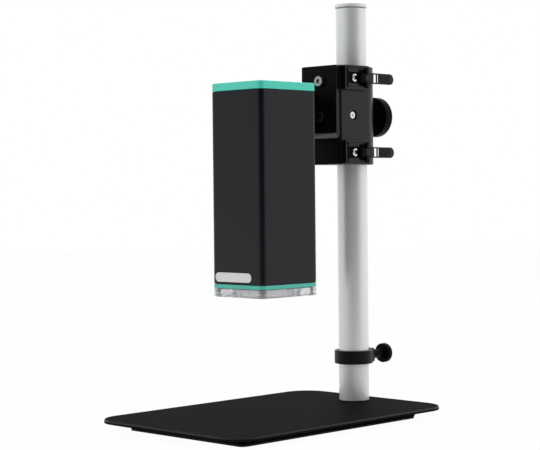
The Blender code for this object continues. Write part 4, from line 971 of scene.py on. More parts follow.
@dataclass
class Stand(Assembly):
    """Base plate on its ballast, and the column."""

    corner: float = 0.020
    plate_top: float = 0.0010
    plate_bottom: float = 0.0003
    edge_highlight_from: float = 0.15
    edge_highlight_to: float = 0.97
    bolt_hole: float = 0.0040
    column_wall: float = 0.0020
    column_edge: float = 0.0003
    cap_rim: float = 0.0007
    cap_rim_steps: int = 8
    spigot_edge: float = 0.0004
    dish: Profile = ((0.0022, 0.0), (0.0026, 0.0004))
    dish_middle: tuple[float, float] = (0.0010, 0.0005)
    turned_from: float = 0.45
    turned_to: float = 0.99

    def build(self) -> None:
        """Models and mounts the stand."""
        self.base_plate()
        self.column()
        self.cap()
        self.keep(POWDER_COAT, "ballast_plate")
        self.keep(RUBBER, "non_slip_pad")
        self.keep(ZINC_STEEL, "column_plug")
        self.resurface("column_washer", ZINC_STEEL)
        self.resurface("column_bolt", ZINC_STEEL)

    def base_plate(self) -> None:
        """Sheet with round corners and a soft upper edge."""
        low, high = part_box("base_plate")
        plate = RoundedBlock(
            low,
            high,
            self.corner,
            corner_steps=20,
            top=self.plate_top,
            bottom=self.plate_bottom,
            rim_steps=4,
        ).build("base_sheet")
        column = centre("column_tube")
        over = (low.z - OVER, high.z + OVER)
        drill(plate, self.bolt_hole, over, Facing.PLUS_Z, (column.x, column.y, 0.0))
        self.add(plate, POWDER_COAT, ("base_plate",), angle=SMOOTH_SHEET)
        # The rounded upper edge gets the lighter, glossier coat: a painted highlight along the edge
        self.paint.coat_faces(
            plate, EDGE_HIGHLIGHT_COAT, lambda at, normal: self.edge_highlight_from < normal.z < self.edge_highlight_to
        )

    def column(self) -> None:
        """Tube with its ends eased."""
        low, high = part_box("column_tube")
        radius = (high.x - low.x) / 2
        inner = radius - self.column_wall
        edge = self.column_edge
        profile = [
            (inner, low.z + edge),
            (inner + edge, low.z),
            (radius - edge, low.z),
            (radius, low.z + edge),
            (radius, high.z - edge),
            (radius - edge, high.z),
            (inner + edge, high.z),
            (inner, high.z - edge),
            (inner, low.z + edge),
        ]
        tube = turned("column", profile, SIDES_COLUMN)
        place(tube, Facing.PLUS_Z, (0.0, centre("column_tube").y, 0.0))
        self.add(tube, BRIGHT_ANODISED, ("column_tube",))

    def cap(self) -> None:
        """Cap with a rounded flange, a shallow dish in its top and a spigot in the tube."""
        low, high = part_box("column_top_cap")
        tube_low, tube_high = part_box("column_tube")
        radius = (high.x - low.x) / 2
        spigot = (tube_high.x - tube_low.x) / 2 - self.column_wall - CLEAR
        seat = tube_high.z + CLEAR
        middle = (seat + high.z) / 2
        straight = radius - self.cap_rim
        edge = self.spigot_edge
        profile = [(spigot - edge, low.z), (spigot, low.z + edge), (spigot, seat), (straight, seat)]
        for step in range(self.cap_rim_steps + 1):
            angle = math.pi * step / self.cap_rim_steps - math.pi / 2
            reach = straight + self.cap_rim * math.cos(angle)
            profile.append((reach, middle + (high.z - seat) / 2 * math.sin(angle)))
        profile += [(radius - inset, high.z - drop) for inset, drop in self.dish]
        profile.append((self.dish_middle[0], high.z - self.dish_middle[1]))
        cap = turned("column_cap", profile, SIDES_COLUMN)
        place(cap, Facing.PLUS_Z, (0.0, centre("column_top_cap").y, 0.0))
        self.add(cap, BRIGHT_ANODISED, ("column_top_cap",))
        self.paint.coat_faces(
            cap,
            TURNED_RIM,
            lambda at, normal: at.z > seat and self.turned_from < abs(normal.z) < self.turned_to,
        )


# Screws

@dataclass(frozen=True)
class CapScrew:
    """Socket head cap screw, built head down along +Z from its bearing face.

    The rim of the head is given by insets and drops, in parts of its reach.
    """

    shank: float
    head: float
    head_height: float
    length: float
    socket: float
    socket_depth: float
    rim_share: float = 0.14
    rim: Profile = ((1.6, 0.0), (0.5, 0.4), (0.0, 1.4))
    seat_edge: float = 0.0001
    tip: float = 0.0005
    mouth: float = 1.25
    throat: float = 0.9

    def build(self, name: str) -> Piece:
        """Models the screw.

        Args:
            name: the piece's name.

        Returns:
            The screw, with its bearing face at 0 and its head below it.
        """
        top = -self.head_height
        rim = self.head_height * self.rim_share
        profile = [(self.head - rim * inset, top + rim * drop) for inset, drop in self.rim]
        profile += [
            (self.head, -self.seat_edge),
            (self.head - self.seat_edge, 0.0),
            (self.shank, 0.0),
            (self.shank, self.length - self.tip),
            (self.shank - self.tip, self.length),
        ]
        bite = [
            (self.socket * self.mouth, top - 2 * self.seat_edge),
            (self.socket * self.mouth, top),
            (self.socket * self.throat, top + CLEAR),
        ]
        socket = rod("socket", self.socket, top - OVER, top + self.socket_depth, HEXAGON)
        screw = turned(name, profile, SIDES_SCREW)
        return carve(screw, socket, turned("bite", bite, SIDES_SCREW))


@dataclass(frozen=True)
class PanScrew:
    """Small cross-recessed pan head screw, built along +Z with its head on top."""

    head: float = 0.0030
    head_height: float = 0.0016
    recess: float = 0.0019
    arm_share: float = 0.38
    arm_floor: float = 0.3
    arm_top: float = 1.2
    rim: float = 0.35
    foot: float = 0.97
    dome_step: float = 14.0
    dome_steps: int = 6

    def build(self, name: str) -> Piece:
        """Models the screw's head with its recess.

        Args:
            name: the piece's name.

        Returns:
            The screw, with its bearing face at 0.
        """
        profile = [(self.head * self.foot, 0.0), (self.head, self.head_height * self.rim)]
        for step in range(1, self.dome_steps + 1):
            angle = math.radians(self.dome_step * step)
            height = self.head_height * (self.rim + (1.0 - self.rim) * math.sin(angle))
            profile.append((self.head * math.cos(angle), height))
        screw = turned(name, profile, SIDES_SMALL)
        long, short = self.recess, self.recess * self.arm_share
        for reach_x, reach_y in ((long, short), (short, long)):
            low = (-reach_x, -reach_y, self.head_height * self.arm_floor)
            high = (reach_x, reach_y, self.head_height * self.arm_top)
            carve(screw, RoundedBlock(low, high, 0.0).build("arm"))
        screw.rotation_euler.z = math.pi / 4
        return settle(screw)


# Sleeve block with its bushes

@dataclass
class Sleeve(Assembly):
    """Block that slides on the column, with a bush in each end."""

    front_corner: float = 0.0018
    edge: float = 0.0006
    back_steps: int = 36
    bore: float = 0.0114
    bush_seat: float = 0.0125
    bush_length: float = 0.0123
    boss_radius: float = 0.0060
    boss_edge: float = 0.0004
    boss_root: float = 0.002
    clamp_hole: float = 0.0030
    side_screw: float = 0.00295
    grub_edge: float = 0.0004
    grub_socket: float = 0.34
    grub_socket_depth: float = 0.0010
    side_mouth: float = 0.0034
    side_depth: float = 0.0015
    screw_hole: float = 0.0022
    screw_hole_depth: float = 0.0110

    def build(self) -> None:
        """Models and mounts the sleeve."""
        self.block()
        self.side_grub_screw()
        for name in ("lower_bush", "upper_bush"):
            self.resurface(name, MOULDED_BLACK, "guides")

    def block(self) -> None:
        """Block with a flat front and a half round back, bored right through."""
        low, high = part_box("sleeve_block")
        radius = (high.x - low.x) / 2
        column_y = centre("column_tube").y
        middle = (low.z + high.z) / 2
        back = column_y + radius
        block = primitive(
            "sleeve",
            bpy.ops.mesh.primitive_cube_add,
            size=1.0,
            location=(0.0, (low.y + back) / 2, middle),
            scale=(2 * radius, back - low.y, high.z - low.z),
        )
        with editing(block, Pick.EDGES):
            pick_edges(block, lambda a, b: abs(a.z - b.z) > SMALL and a.y > column_y)
            bevel_selected(radius - FLAT, self.back_steps)
            pick_edges(block, lambda a, b: abs(a.z - b.z) > SMALL and a.y < low.y + SMALL)
            bevel_selected(self.front_corner, 6)
            pick_edges(block, lambda a, b: min(a.z, b.z) > high.z - SMALL)
            bevel_selected(self.edge, 2)
            pick_edges(block, lambda a, b: max(a.z, b.z) < low.z + SMALL)
            bevel_selected(self.edge, 2)

        depth = high.y - column_y
        boss_profile = [
            (self.boss_radius, radius - self.boss_root),
            (self.boss_radius, depth - self.boss_edge),
            (self.boss_radius - self.boss_edge, depth),
        ]
        weld(block, place(turned("boss", boss_profile, SIDES_BOSS), Facing.PLUS_Y, (0.0, column_y, middle)))

        seat = (high.z - low.z) / 2 - self.bush_length
        end = (high.z - low.z) / 2 + OVER
        bore_profile = [
            (self.bush_seat, -end),
            (self.bush_seat, -seat),
            (self.bore, -seat),
            (self.bore, seat),
            (self.bush_seat, seat),
            (self.bush_seat, end),
        ]
        carve(block, place(turned("bore", bore_profile), Facing.PLUS_Z, (0.0, column_y, middle)))
        drill(block, self.clamp_hole, (0.0, depth + OVER), Facing.PLUS_Y, (0.0, column_y, middle))
        screw = centre("side_grub_screw")
        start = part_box("side_grub_screw")[0].x - CLEAR
        side = (0.0, radius + OVER - start)
        drill(block, self.side_screw, side, Facing.PLUS_X, (start, screw.y, screw.z))
        mouth = (radius - self.side_depth, screw.y, screw.z)
        drill(block, self.side_mouth, (0.0, self.side_depth + OVER), Facing.PLUS_X, mouth)
        for name in BRACKET_SCREWS:
            at = (0.0, low.y, centre(name).z)
            drill(block, self.screw_hole, (-OVER, self.screw_hole_depth), Facing.PLUS_Y, at)
        self.add(block, BLACK_ANODISED, ("sleeve_block",))
        # The front face gets the darker, duller anodising: painted shade from the microscope in front of it
        self.paint.coat_faces(
            block, SHADED_FRONT_ANODISED, lambda at, normal: faces_front(normal) and at.y < low.y + OVER
        )

    def side_grub_screw(self) -> None:
        """Bright screw with a hexagon socket in the side of the block."""
        low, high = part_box("side_grub_screw")
        length = high.x - low.x
        radius = (high.y - low.y) / 2
        edge = self.grub_edge
        profile = [(radius - edge, 0.0), (radius, edge), (radius, length - edge), (radius - edge, length)]
        screw = turned("side_screw", profile, SIDES_SCREW)
        floor = length - self.grub_socket_depth
        carve(screw, rod("socket", radius * self.grub_socket, floor, length + OVER, HEXAGON))
        middle = centre("side_grub_screw")
        place(screw, Facing.PLUS_X, (low.x, middle.y, middle.z))
        self.add(screw, ZINC_STEEL, ("side_grub_screw",))


@dataclass
class OffsetBracket(Assembly):
    """Bent bracket between the sleeve block and the microscope's back, with its four screws."""

    flange_left: float = 0.0005
    flange_right: float = 0.0031
    thickness: float = 0.0033
    flange_corner: float = 0.0012
    flange_edge: float = 0.0005
    chamfer_height: float = 0.0034
    chamfer_depth: float = 0.0020
    chamfer_cutter: float = 0.04
    arm_height: float = 0.0320
    arm_lift: float = 0.0006
    arm_width: float = 0.0292
    arm_inset: float = 0.0004
    bend: float = 0.0029
    hole: float = 0.0022
    screw: CapScrew = CapScrew(
        shank=0.0019, head=0.0036, head_height=0.0024, length=0.0140, socket=0.0017, socket_depth=0.0015
    )

    def build(self) -> None:
        """Models and mounts the bracket and its screws."""
        self.bracket()
        self.screws()

    def bracket(self) -> None:
        """Flange with a soft front edge, and an arm folded from one strip."""
        low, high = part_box("offset_bracket")
        face_y = high.y - self.thickness
        flange = RoundedBlock(
            (low.x - self.flange_left, low.z, 0.0),
            (high.x - self.flange_right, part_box("sleeve_block")[1].z, self.thickness),
            self.flange_corner,
            corner_steps=8,
            top=self.flange_edge,
        ).build("offset_arm")
        place(flange, Facing.MINUS_Y, (0.0, high.y, 0.0))
        out = Vector((0.0, -self.chamfer_height, -self.chamfer_depth)).normalized()
        halfway = Vector((0.0, face_y + self.chamfer_depth / 2, low.z + self.chamfer_height / 2))
        side = self.chamfer_cutter
        cutter = primitive(
            "chamfer",
            bpy.ops.mesh.primitive_cube_add,
            size=side,
            location=halfway + out * side / 2,
            rotation=(math.atan2(self.chamfer_height, -self.chamfer_depth), 0.0, 0.0),
        )
        carve(flange, cutter)

        weld(flange, self.arm(low, face_y))
        through = (-OVER, self.thickness + OVER)
        for names, front in ((BRACKET_SCREWS, face_y), (HEAD_SCREWS, low.y)):
            for name in names:
                drill(flange, self.hole, through, Facing.PLUS_Y, (0.0, front, centre(name).z))
        self.add(flange, BLACK_ANODISED, ("offset_bracket",))
        # The front face gets the darker, duller anodising: painted shade from the microscope in front of it
        self.paint.coat_faces(
            flange, SHADED_FRONT_ANODISED, lambda at, normal: faces_front(normal) and at.y > face_y - OVER
        )
        # The lower front chamfer gets the light grey finish: painted light from the floor below
        self.paint.coat_faces(flange, PAINTED_LIT_EDGE, lambda at, normal: normal.y < -ASIDE and normal.z < -ASIDE)

    def arm(self, low: Vector, face_y: float) -> Piece:
        """Web on the -X side and a plate across the microscope's back, folded from one strip.

        Args:
            low: the bracket's lowest corner.
            face_y: where the flange's front face is.

        Returns:
            The arm, running a little into the flange.
        """
        middle = self.thickness / 2
        web_x = low.x + self.arm_inset + middle
        plate_y = low.y + middle
        end_x = low.x + self.arm_inset + self.arm_width
        start = Vector((web_x, face_y + middle, low.z + self.arm_lift))
        strip = primitive("arm", bpy.ops.mesh.primitive_plane_add, size=self.thickness, location=start)
        with editing(strip, Pick.VERTICES):
            bpy.ops.mesh.select_all(action="SELECT")
            bpy.ops.mesh.merge(type="CENTER")
            for step in ((0.0, plate_y - start.y, 0.0), (end_x - web_x, 0.0, 0.0)):
                bpy.ops.mesh.extrude_vertices_move(TRANSFORM_OT_translate={"value": step})
            bpy.ops.mesh.select_all(action="SELECT")
            rise = (0.0, 0.0, self.arm_height)
            bpy.ops.mesh.extrude_edges_move(TRANSFORM_OT_translate={"value": rise})
            bpy.ops.mesh.select_mode(type=Pick.EDGES.value)
            pick_edges(
                strip,
                lambda a, b: abs(a.z - b.z) > SMALL and math.hypot(a.x - web_x, a.y - plate_y) < SMALL,
            )
            bevel_selected(self.bend, 8)
            bpy.ops.mesh.select_all(action="SELECT")
            bpy.ops.mesh.normals_make_consistent(inside=False)
        modify(strip, "SOLIDIFY", thickness=self.thickness, offset=0.0)
        return mend(strip)

    def screws(self) -> None:
        """Two screws into the sleeve block, and two into the microscope's back."""
        thick = self.screw.head_height
        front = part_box(BRACKET_SCREWS[0])[0].y + thick
        # The lower bracket screw sits in the microscope's shadow and gets the black finish: painted shade
        finishes = (GREY_STEEL, BLACK_STEEL_AND_SHADE)
        self.pair(self.screw, "flange_screw", BRACKET_SCREWS, finishes, Facing.PLUS_Y, front)
        low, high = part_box(HEAD_SCREWS[0])
        short = replace(self.screw, length=high.y - low.y - thick)
        finishes = (GREY_STEEL, GREY_STEEL)
        self.pair(short, "back_screw", HEAD_SCREWS, finishes, Facing.MINUS_Y, high.y - thick)

    def pair(
        self,
        screw: CapScrew,
        name: str,
        nodes: Sequence[str],
        finishes: Sequence[Finish],
        facing: Facing,
        seat: float,
    ) -> None:
        """An upper and a lower screw of one kind.

        Args:
            screw: their kind.
            name: what their names start with.
            nodes: the nodes that they stand for.
            finishes: the finish of each.
            facing: the way that their shanks point.
            seat: where their bearing faces are along Y.
        """
        above, below = (centre(node).z for node in nodes)
        upper = place(screw.build(f"{name}_upper"), facing, (0.0, seat, above))
        lower = duplicate(upper, f"{name}_lower", (0.0, 0.0, below - above))
        for piece, node, finish in zip((upper, lower), nodes, finishes):
            self.add(piece, finish, (node,))


@dataclass
class CableClip(Assembly):
    """Adjustable clip on the side of the sleeve: a tray with a screw in its floor, and a strap, left open."""

    name: str = "upper_clip"
    floor: float = 0.0014
    wall: float = 0.0013
    corner: float = 0.0012
    edge: float = 0.0003
    gap: float = 0.0003
    strap_thickness: float = 0.0010
    strap_height: float = 0.0030
    neck: float = 0.0042
    root_width: float = 0.0061
    root_length: float = 0.0054
    root_setback: float = 0.0024
    tip_extra: float = 0.0012
    slot_width: float = 0.0056
    slots: Profile = ((0.0041, 0.0033), (0.0079, 0.0018))
    teeth_start: float = 0.0108
    tooth: float = 0.0002
    tooth_pitch: float = 0.0011
    tooth_share: float = 0.45
    groove_start: float = 0.0032
    groove_length: float = 0.0020
    channel_width: float = 0.0078
    channel_floor: float = 0.0005
    channel_lap: float = 0.0002
    channel_rise: float = 0.0005
    well_width: float = 0.0112
    well_length: float = 0.0078
    well_corner: float = 0.0006
    root_corner: float = 0.0004
    root_edge: float = 0.0002
    strap_edge: float = 0.00015
    slot_corner: float = 0.0003
    recess_reach: float = 1.1
    recess_level: float = 0.5
    screw: PanScrew = PanScrew()

    def build(self) -> None:
        """Models and mounts the clip."""
        low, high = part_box(f"{self.name}_base")
        middle = centre(f"{self.name}_base")
        middle.x = low.x
        self.tray(middle, high - low)
        self.strap(middle, high - low)
        screw = self.screw.build(f"{self.name}_screw")
        seat = middle + Vector((self.channel_floor, 0.0, 0.0))
        self.add(place(screw, Facing.PLUS_X, seat), ZINC_STEEL)
        # The cross recess's walls and floor are painted black: painted shade in the recess
        reach = self.screw.recess * self.recess_reach
        level = seat.x + self.screw.head_height * self.recess_level
        self.paint.coat_faces(
            screw,
            PAINTED_SHADE_BLACK,
            lambda at, normal: math.hypot(at.y - seat.y, at.z - seat.z) < reach
            and (abs(normal.x) < ASIDE or at.x < level),
        )

    def tray(self, middle: Vector, size: Vector) -> None:
        """Tray with a pocket, a notch in its far wall, and a groove, a channel and a well in its floor.

        Args:
            middle: middle of its seat.
            size: its size along X, Y and Z.
        """
        half_width = size.z / 2
        half_length = size.y / 2
        inner = half_width - self.wall
        end = half_length - self.wall
        tray = RoundedBlock(
            (-half_width, -half_length, 0.0), (half_width, half_length, size.x), self.corner, 5, self.edge
        ).build(f"{self.name}_tray")
        reach = self.neck / 2 + self.gap
        notch_floor = self.strap_height - self.strap_thickness / 2 - self.gap
        groove_start = self.groove_start - half_length
        groove_end = groove_start + self.groove_length
        across = self.channel_width / 2
        well_start = end - self.well_length
        well_side = self.well_width / 2
        low = self.channel_floor
        high = self.floor + self.channel_rise
        lap = self.channel_lap
        over = size.x + OVER
        cutters = (
            RoundedBlock((-inner, -end, self.floor), (inner, end, over), self.corner / 2, 4),
            RoundedBlock((-reach, end - self.wall, notch_floor), (reach, half_length + OVER, over), 0.0),
            RoundedBlock((-inner, groove_start, low), (inner, groove_end, high), 0.0),
            RoundedBlock((-across, groove_end - lap, low), (across, well_start + lap, high), 0.0),
            RoundedBlock((-well_side, well_start, low), (well_side, end - lap, high), self.well_corner, 3),
        )
        carve(tray, *(cutter.build("cutter") for cutter in cutters))
        place(tray, Facing.PLUS_X, middle)
        self.add(tray, MOULDED_BLACK, (f"{self.name}_base",))
        # Painted shade: the near wall's outer face and the sunken floor are painted black, and the far wall's
        # inner face gets painted light
        near_y = middle.y - half_length + 2 * lap
        far_y = middle.y + end
        shallow = middle.x + MARGIN
        deep = middle.x + self.floor - lap
        self.paint.coat_faces(tray, PAINTED_SHADE_BLACK, lambda at, normal: faces_front(normal) and at.y < near_y)
        self.paint.coat_faces(tray, PAINTED_SHADE_BLACK, lambda at, normal: shallow < at.x < deep)
        self.paint.coat_faces(
            tray, PAINTED_LIT_EDGE, lambda at, normal: faces_front(normal) and abs(at.y - far_y) < lap
        )

    def strap(self, middle: Vector, size: Vector) -> None:
        """Strap with a narrow neck, a root block in the tray, latch slots, a round tip and fine teeth.

        Args:
            middle: middle of the clip's seat.
            size: the tray's size along X, Y and Z.
        """
        low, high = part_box(f"{self.name}_strap")
        side = (high.z - low.z) / 2
        tip = high.y - middle.y + self.tip_extra
        bottom = self.strap_height - self.strap_thickness / 2
        top = self.strap_height + self.strap_thickness / 2
        mouth = size.y / 2
        outside = mouth + self.gap
        root_end = mouth - self.wall - self.root_setback
        root_start = root_end - self.root_length

        band = RoundedBlock((-side, outside, bottom), (side, tip, top), 0.0).build(f"{self.name}_band")
        with editing(band, Pick.EDGES):
            pick_edges(band, lambda a, b: abs(a.z - b.z) > SMALL and a.y > tip - SMALL)
            bevel_selected(side - FLAT, 16)
            pick_edges(band, lambda a, b: abs(a.z - b.z) > SMALL and a.y < outside + SMALL)
            bevel_selected(side - self.neck / 2, 1)
            pick_edges(band, lambda a, b: min(a.z, b.z) > top - SMALL and max(a.y, b.y) > outside + SMALL)
            bevel_selected(self.strap_edge, 2)
        half = self.neck / 2
        low = (-half, (root_start + root_end) / 2, bottom + SMALL)
        high = (half, outside + self.root_corner, top - SMALL)
        neck = RoundedBlock(low, high, 0.0).build("neck")
        half = self.root_width / 2
        low = (-half, root_start, self.floor + self.gap)
        high = (half, root_end, size.x)
        root = RoundedBlock(low, high, self.root_corner, 3, self.root_edge).build("root")
        weld(band, neck, root)
        half = self.slot_width / 2
        for start, length in self.slots:
            low = (-half, mouth + start, bottom - OVER)
            high = (half, mouth + start + length, top + OVER)
            carve(band, RoundedBlock(low, high, self.slot_corner, corner_steps=3).build("slot"))
        teeth = []
        reach = mouth + self.teeth_start
        while reach < tip - side:
            low = (-half, reach, top - self.tooth)
            high = (half, reach + self.tooth_pitch * self.tooth_share, top + self.tooth)
            teeth.append(RoundedBlock(low, high, 0.0).build("tooth"))
            reach += self.tooth_pitch
        weld(band, *teeth)
        place(band, Facing.PLUS_X, middle)
        self.add(band, MOULDED_BLACK, (f"{self.name}_strap",), angle=SMOOTH_GRIP)
        # The strap's root inside the tray is painted black: painted shade in the pocket
        inside = middle.y + mouth - self.wall
        self.paint.coat_faces(band, PAINTED_SHADE_BLACK, lambda at, normal: at.y < inside)


@dataclass(frozen=True)
class Grip:
    """Round grip with a scalloped rim, along +Z from 0."""

    radius: float
    lobes: int
    depth: float
    thickness: float
    edge: float
    bore: float
    face_radius: float
    face_depth: float
    hub_steps: int
    steps_per_lobe: int = 8
    edge_steps: int = 4
    face_bevel: float = 0.0004
    face_rise: tuple[float, float] = (0.45, 0.42)
    face_level: float = 0.3
    rim_share: float = 0.98

    def build(self, name: str) -> Piece:
        """Models the grip.

        Args:
            name: the piece's name.

        Returns:
            The grip.
        """
        steps = self.lobes * self.steps_per_lobe
        edge = self.edge
        top = self.thickness
        shares = [math.pi / 2 * step / self.edge_steps for step in range(self.edge_steps + 1)]
        profile = [(self.radius - edge, 0.0)]
        for angle in shares[1:]:
            profile.append((self.radius - edge * (1.0 - math.sin(angle)), edge * (1.0 - math.cos(angle))))
        for angle in shares:
            reach = self.radius - edge * (1.0 - math.cos(angle))
            profile.append((reach, top - edge * (1.0 - math.sin(angle))))
        if self.face_radius:
            profile += [
                (self.face_radius + self.face_bevel, top),
                (self.face_radius, top - self.face_depth),
                (self.face_radius * self.face_rise[0], top - self.face_depth),
                (self.face_radius * self.face_rise[1], top - self.face_depth * self.face_level),
            ]
        grip = turned(name, profile, steps)
        rim = self.radius - edge * self.rim_share
        share = self.depth / self.radius
        with editing(grip, Pick.VERTICES):
            for phase in range(1, self.steps_per_lobe):
                pick_vertices(grip, lambda point: self.on_phase(point, phase, steps, rim))
                dip = (1.0 - math.cos(2.0 * math.pi * phase / self.steps_per_lobe)) / 2
                factor = 1.0 - share * dip
                bpy.ops.transform.resize(value=(factor, factor, 1.0), center_override=(0.0, 0.0, 0.0))
        return grip

    def on_hub(self, name: str, radius: float, start: float, end: float, depth: float) -> Piece:
        """Models the grip on a round hub, with a blind hole for its screw.

        Args:
            name: the piece's name.
            radius: the hub's radius.
            start: where the hub begins.
            end: where it runs out inside the grip.
            depth: where the hole ends.

        Returns:
            The grip.
        """
        grip = self.build(name)
        hub = turned("hub", [(radius - CLEAR, start), (radius, start + CLEAR), (radius, end)], self.hub_steps)
        weld(grip, hub)
        return carve(grip, rod("bore", self.bore, start - OVER, depth))

    def on_phase(self, point: Vector, phase: int, steps: int, rim: float) -> bool:
        """Whether a point of the rim is at one place of its lobe.

        Args:
            point: the point.
            phase: steps from the lobe's crest.
            steps: points round the grip.
            rim: radius inside which nothing is scalloped.

        Returns:
            True where it is.
        """
        if math.hypot(point.x, point.y) < rim:
            return False
        number = round(math.atan2(point.y, point.x) / (2.0 * math.pi) * steps)
        return number % self.steps_per_lobe == phase


@dataclass
class ClampKnob(Assembly):
    """Knob, screw and pad behind the sleeve block."""

    grip: Grip = Grip(
        radius=0.0139,
        lobes=36,
        depth=0.0001,
        thickness=0.0075,
        edge=0.0012,
        bore=0.0030,
        face_radius=0.0095,
        face_depth=0.0005,
        hub_steps=SIDES_BOSS,
    )
    hub_radius: float = 0.0050
    hub_length: float = 0.0016
    hub_lap: float = 0.0006

    def build(self) -> None:
        """Models and mounts the knob, and dresses its screw and pad."""
        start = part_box("clamp_knob")[0].y
        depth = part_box("clamp_screw")[1].y - start + CLEAR - self.hub_length
        knob = self.grip.on_hub("clamp_grip", self.hub_radius, -self.hub_length, self.hub_lap, depth)
        place(knob, Facing.PLUS_Y, (0.0, start + self.hub_length, centre("clamp_knob").z))
        self.add(knob, KNOB_BLACK, ("clamp_knob",), angle=SMOOTH_GRIP)
        self.resurface("clamp_screw", ZINC_STEEL)
        self.resurface("clamp_pad", BRASS, "clamp_pad_body")


@dataclass
class StopCollar(Assembly):
    """Ring on the column with its thumb screw."""

    edge: float = 0.0006
    edge_waist: float = 0.3
    boss_width: float = 0.0098
    boss_height: float = 0.0098
    boss_corner: float = 0.0014
    boss_edge: float = 0.0010
    boss_extra: float = 0.0016
    hub_radius: float = 0.0031
    hub_gap: float = 0.0004
    screw_hole: float = 0.0023
    bore: float = 0.0107
    bore_edge: float = 0.0005
    neck: float = 0.0020
    neck_edge: float = 0.0004
    thread_start: float = 0.0010
    thread_share: float = 0.55
    thread_depth: float = 0.0003
    thread_pitch: float = 0.0007
    grip: Grip = Grip(
        radius=0.0068,
        lobes=20,
        depth=0.0001,
        thickness=0.0048,
        edge=0.0012,
        bore=0.0023,
        face_radius=0.0,
        face_depth=0.0,
        hub_steps=SIDES_SCREW,
    )

    def build(self) -> None:
        """Models and mounts the collar, its thumb knob, its screw and its pad."""
        self.ring()
        self.thumb_knob()
        self.thumb_screw()
        self.resurface("collar_pad", BRASS, "collar_pad_body")

    def ring(self) -> None:
        """Ring with a boss, bored for the column and the thumb screw."""
        low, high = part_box("stop_collar")
        column_y = centre("column_tube").y
        radius = (high.x - low.x) / 2
        half = (high.z - low.z) / 2
        middle = (0.0, column_y, (low.z + high.z) / 2)
        reach = high.y - column_y + self.boss_extra
        edge = self.edge
        waist = edge * self.edge_waist
        profile = [
            (radius - edge, -half),
            (radius - waist, -half + waist),
            (radius, -half + edge),
            (radius, half - edge),
            (radius - waist, half - waist),
            (radius - edge, half),
        ]
        ring = place(turned("collar_ring", profile, SIDES_COLUMN), Facing.PLUS_Z, middle)
        boss = RoundedBlock(
            (-self.boss_width / 2, -self.boss_height / 2, self.bore),
            (self.boss_width / 2, self.boss_height / 2, reach),
            self.boss_corner,
            corner_steps=4,
            top=self.boss_edge,
            rim_steps=2,
        ).build("boss")
        weld(ring, place(boss, Facing.PLUS_Y, middle))
        edge = self.bore_edge
        bore_profile = [
            (self.bore + edge, -half - OVER),
            (self.bore + edge, -half),
            (self.bore, -half + edge),
            (self.bore, half - edge),
            (self.bore + edge, half),
            (self.bore + edge, half + OVER),
        ]
        carve(ring, place(turned("bore", bore_profile, SIDES_COLUMN), Facing.PLUS_Z, middle))
        drill(ring, self.screw_hole, (0.0, reach + OVER), Facing.PLUS_Y, middle)
        self.add(ring, COLLAR_ANODISED, ("stop_collar",))

    def thumb_knob(self) -> None:
        """Small fluted grip."""
        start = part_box("thumb_knob")[0].y
        hub_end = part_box("stop_collar")[1].y + self.boss_extra + self.hub_gap - start
        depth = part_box("thumb_screw")[1].y - start + CLEAR
        knob = self.grip.on_hub("thumb_grip", self.hub_radius, hub_end, self.grip.edge, depth)
        place(knob, Facing.PLUS_Y, (0.0, start, centre("thumb_knob").z))
        self.add(knob, KNOB_BLACK, ("thumb_knob",), body="thumb_knob_body", angle=SMOOTH_GRIP)

    def thumb_screw(self) -> None:
        """Screw with the rings of its thread."""
        low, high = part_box("thumb_screw")
        length = high.y - low.y
        profile = [(self.neck - self.neck_edge, 0.0), (self.neck, self.neck_edge)]
        height = self.thread_start
        while height < length * self.thread_share:
            profile.append((self.neck, height))
            profile.append((self.neck - self.thread_depth, height + self.thread_pitch / 2))
            height += self.thread_pitch
        profile += [(self.neck, height), (self.neck, length)]
        screw = turned("thumb_thread", profile, SIDES_SMALL)
        place(screw, Facing.PLUS_Y, (0.0, low.y, centre("thumb_screw").z))
        self.add(screw, BLACK_STEEL_AND_SHADE, ("thumb_screw",), body="thumb_knob_body")


# Microscope

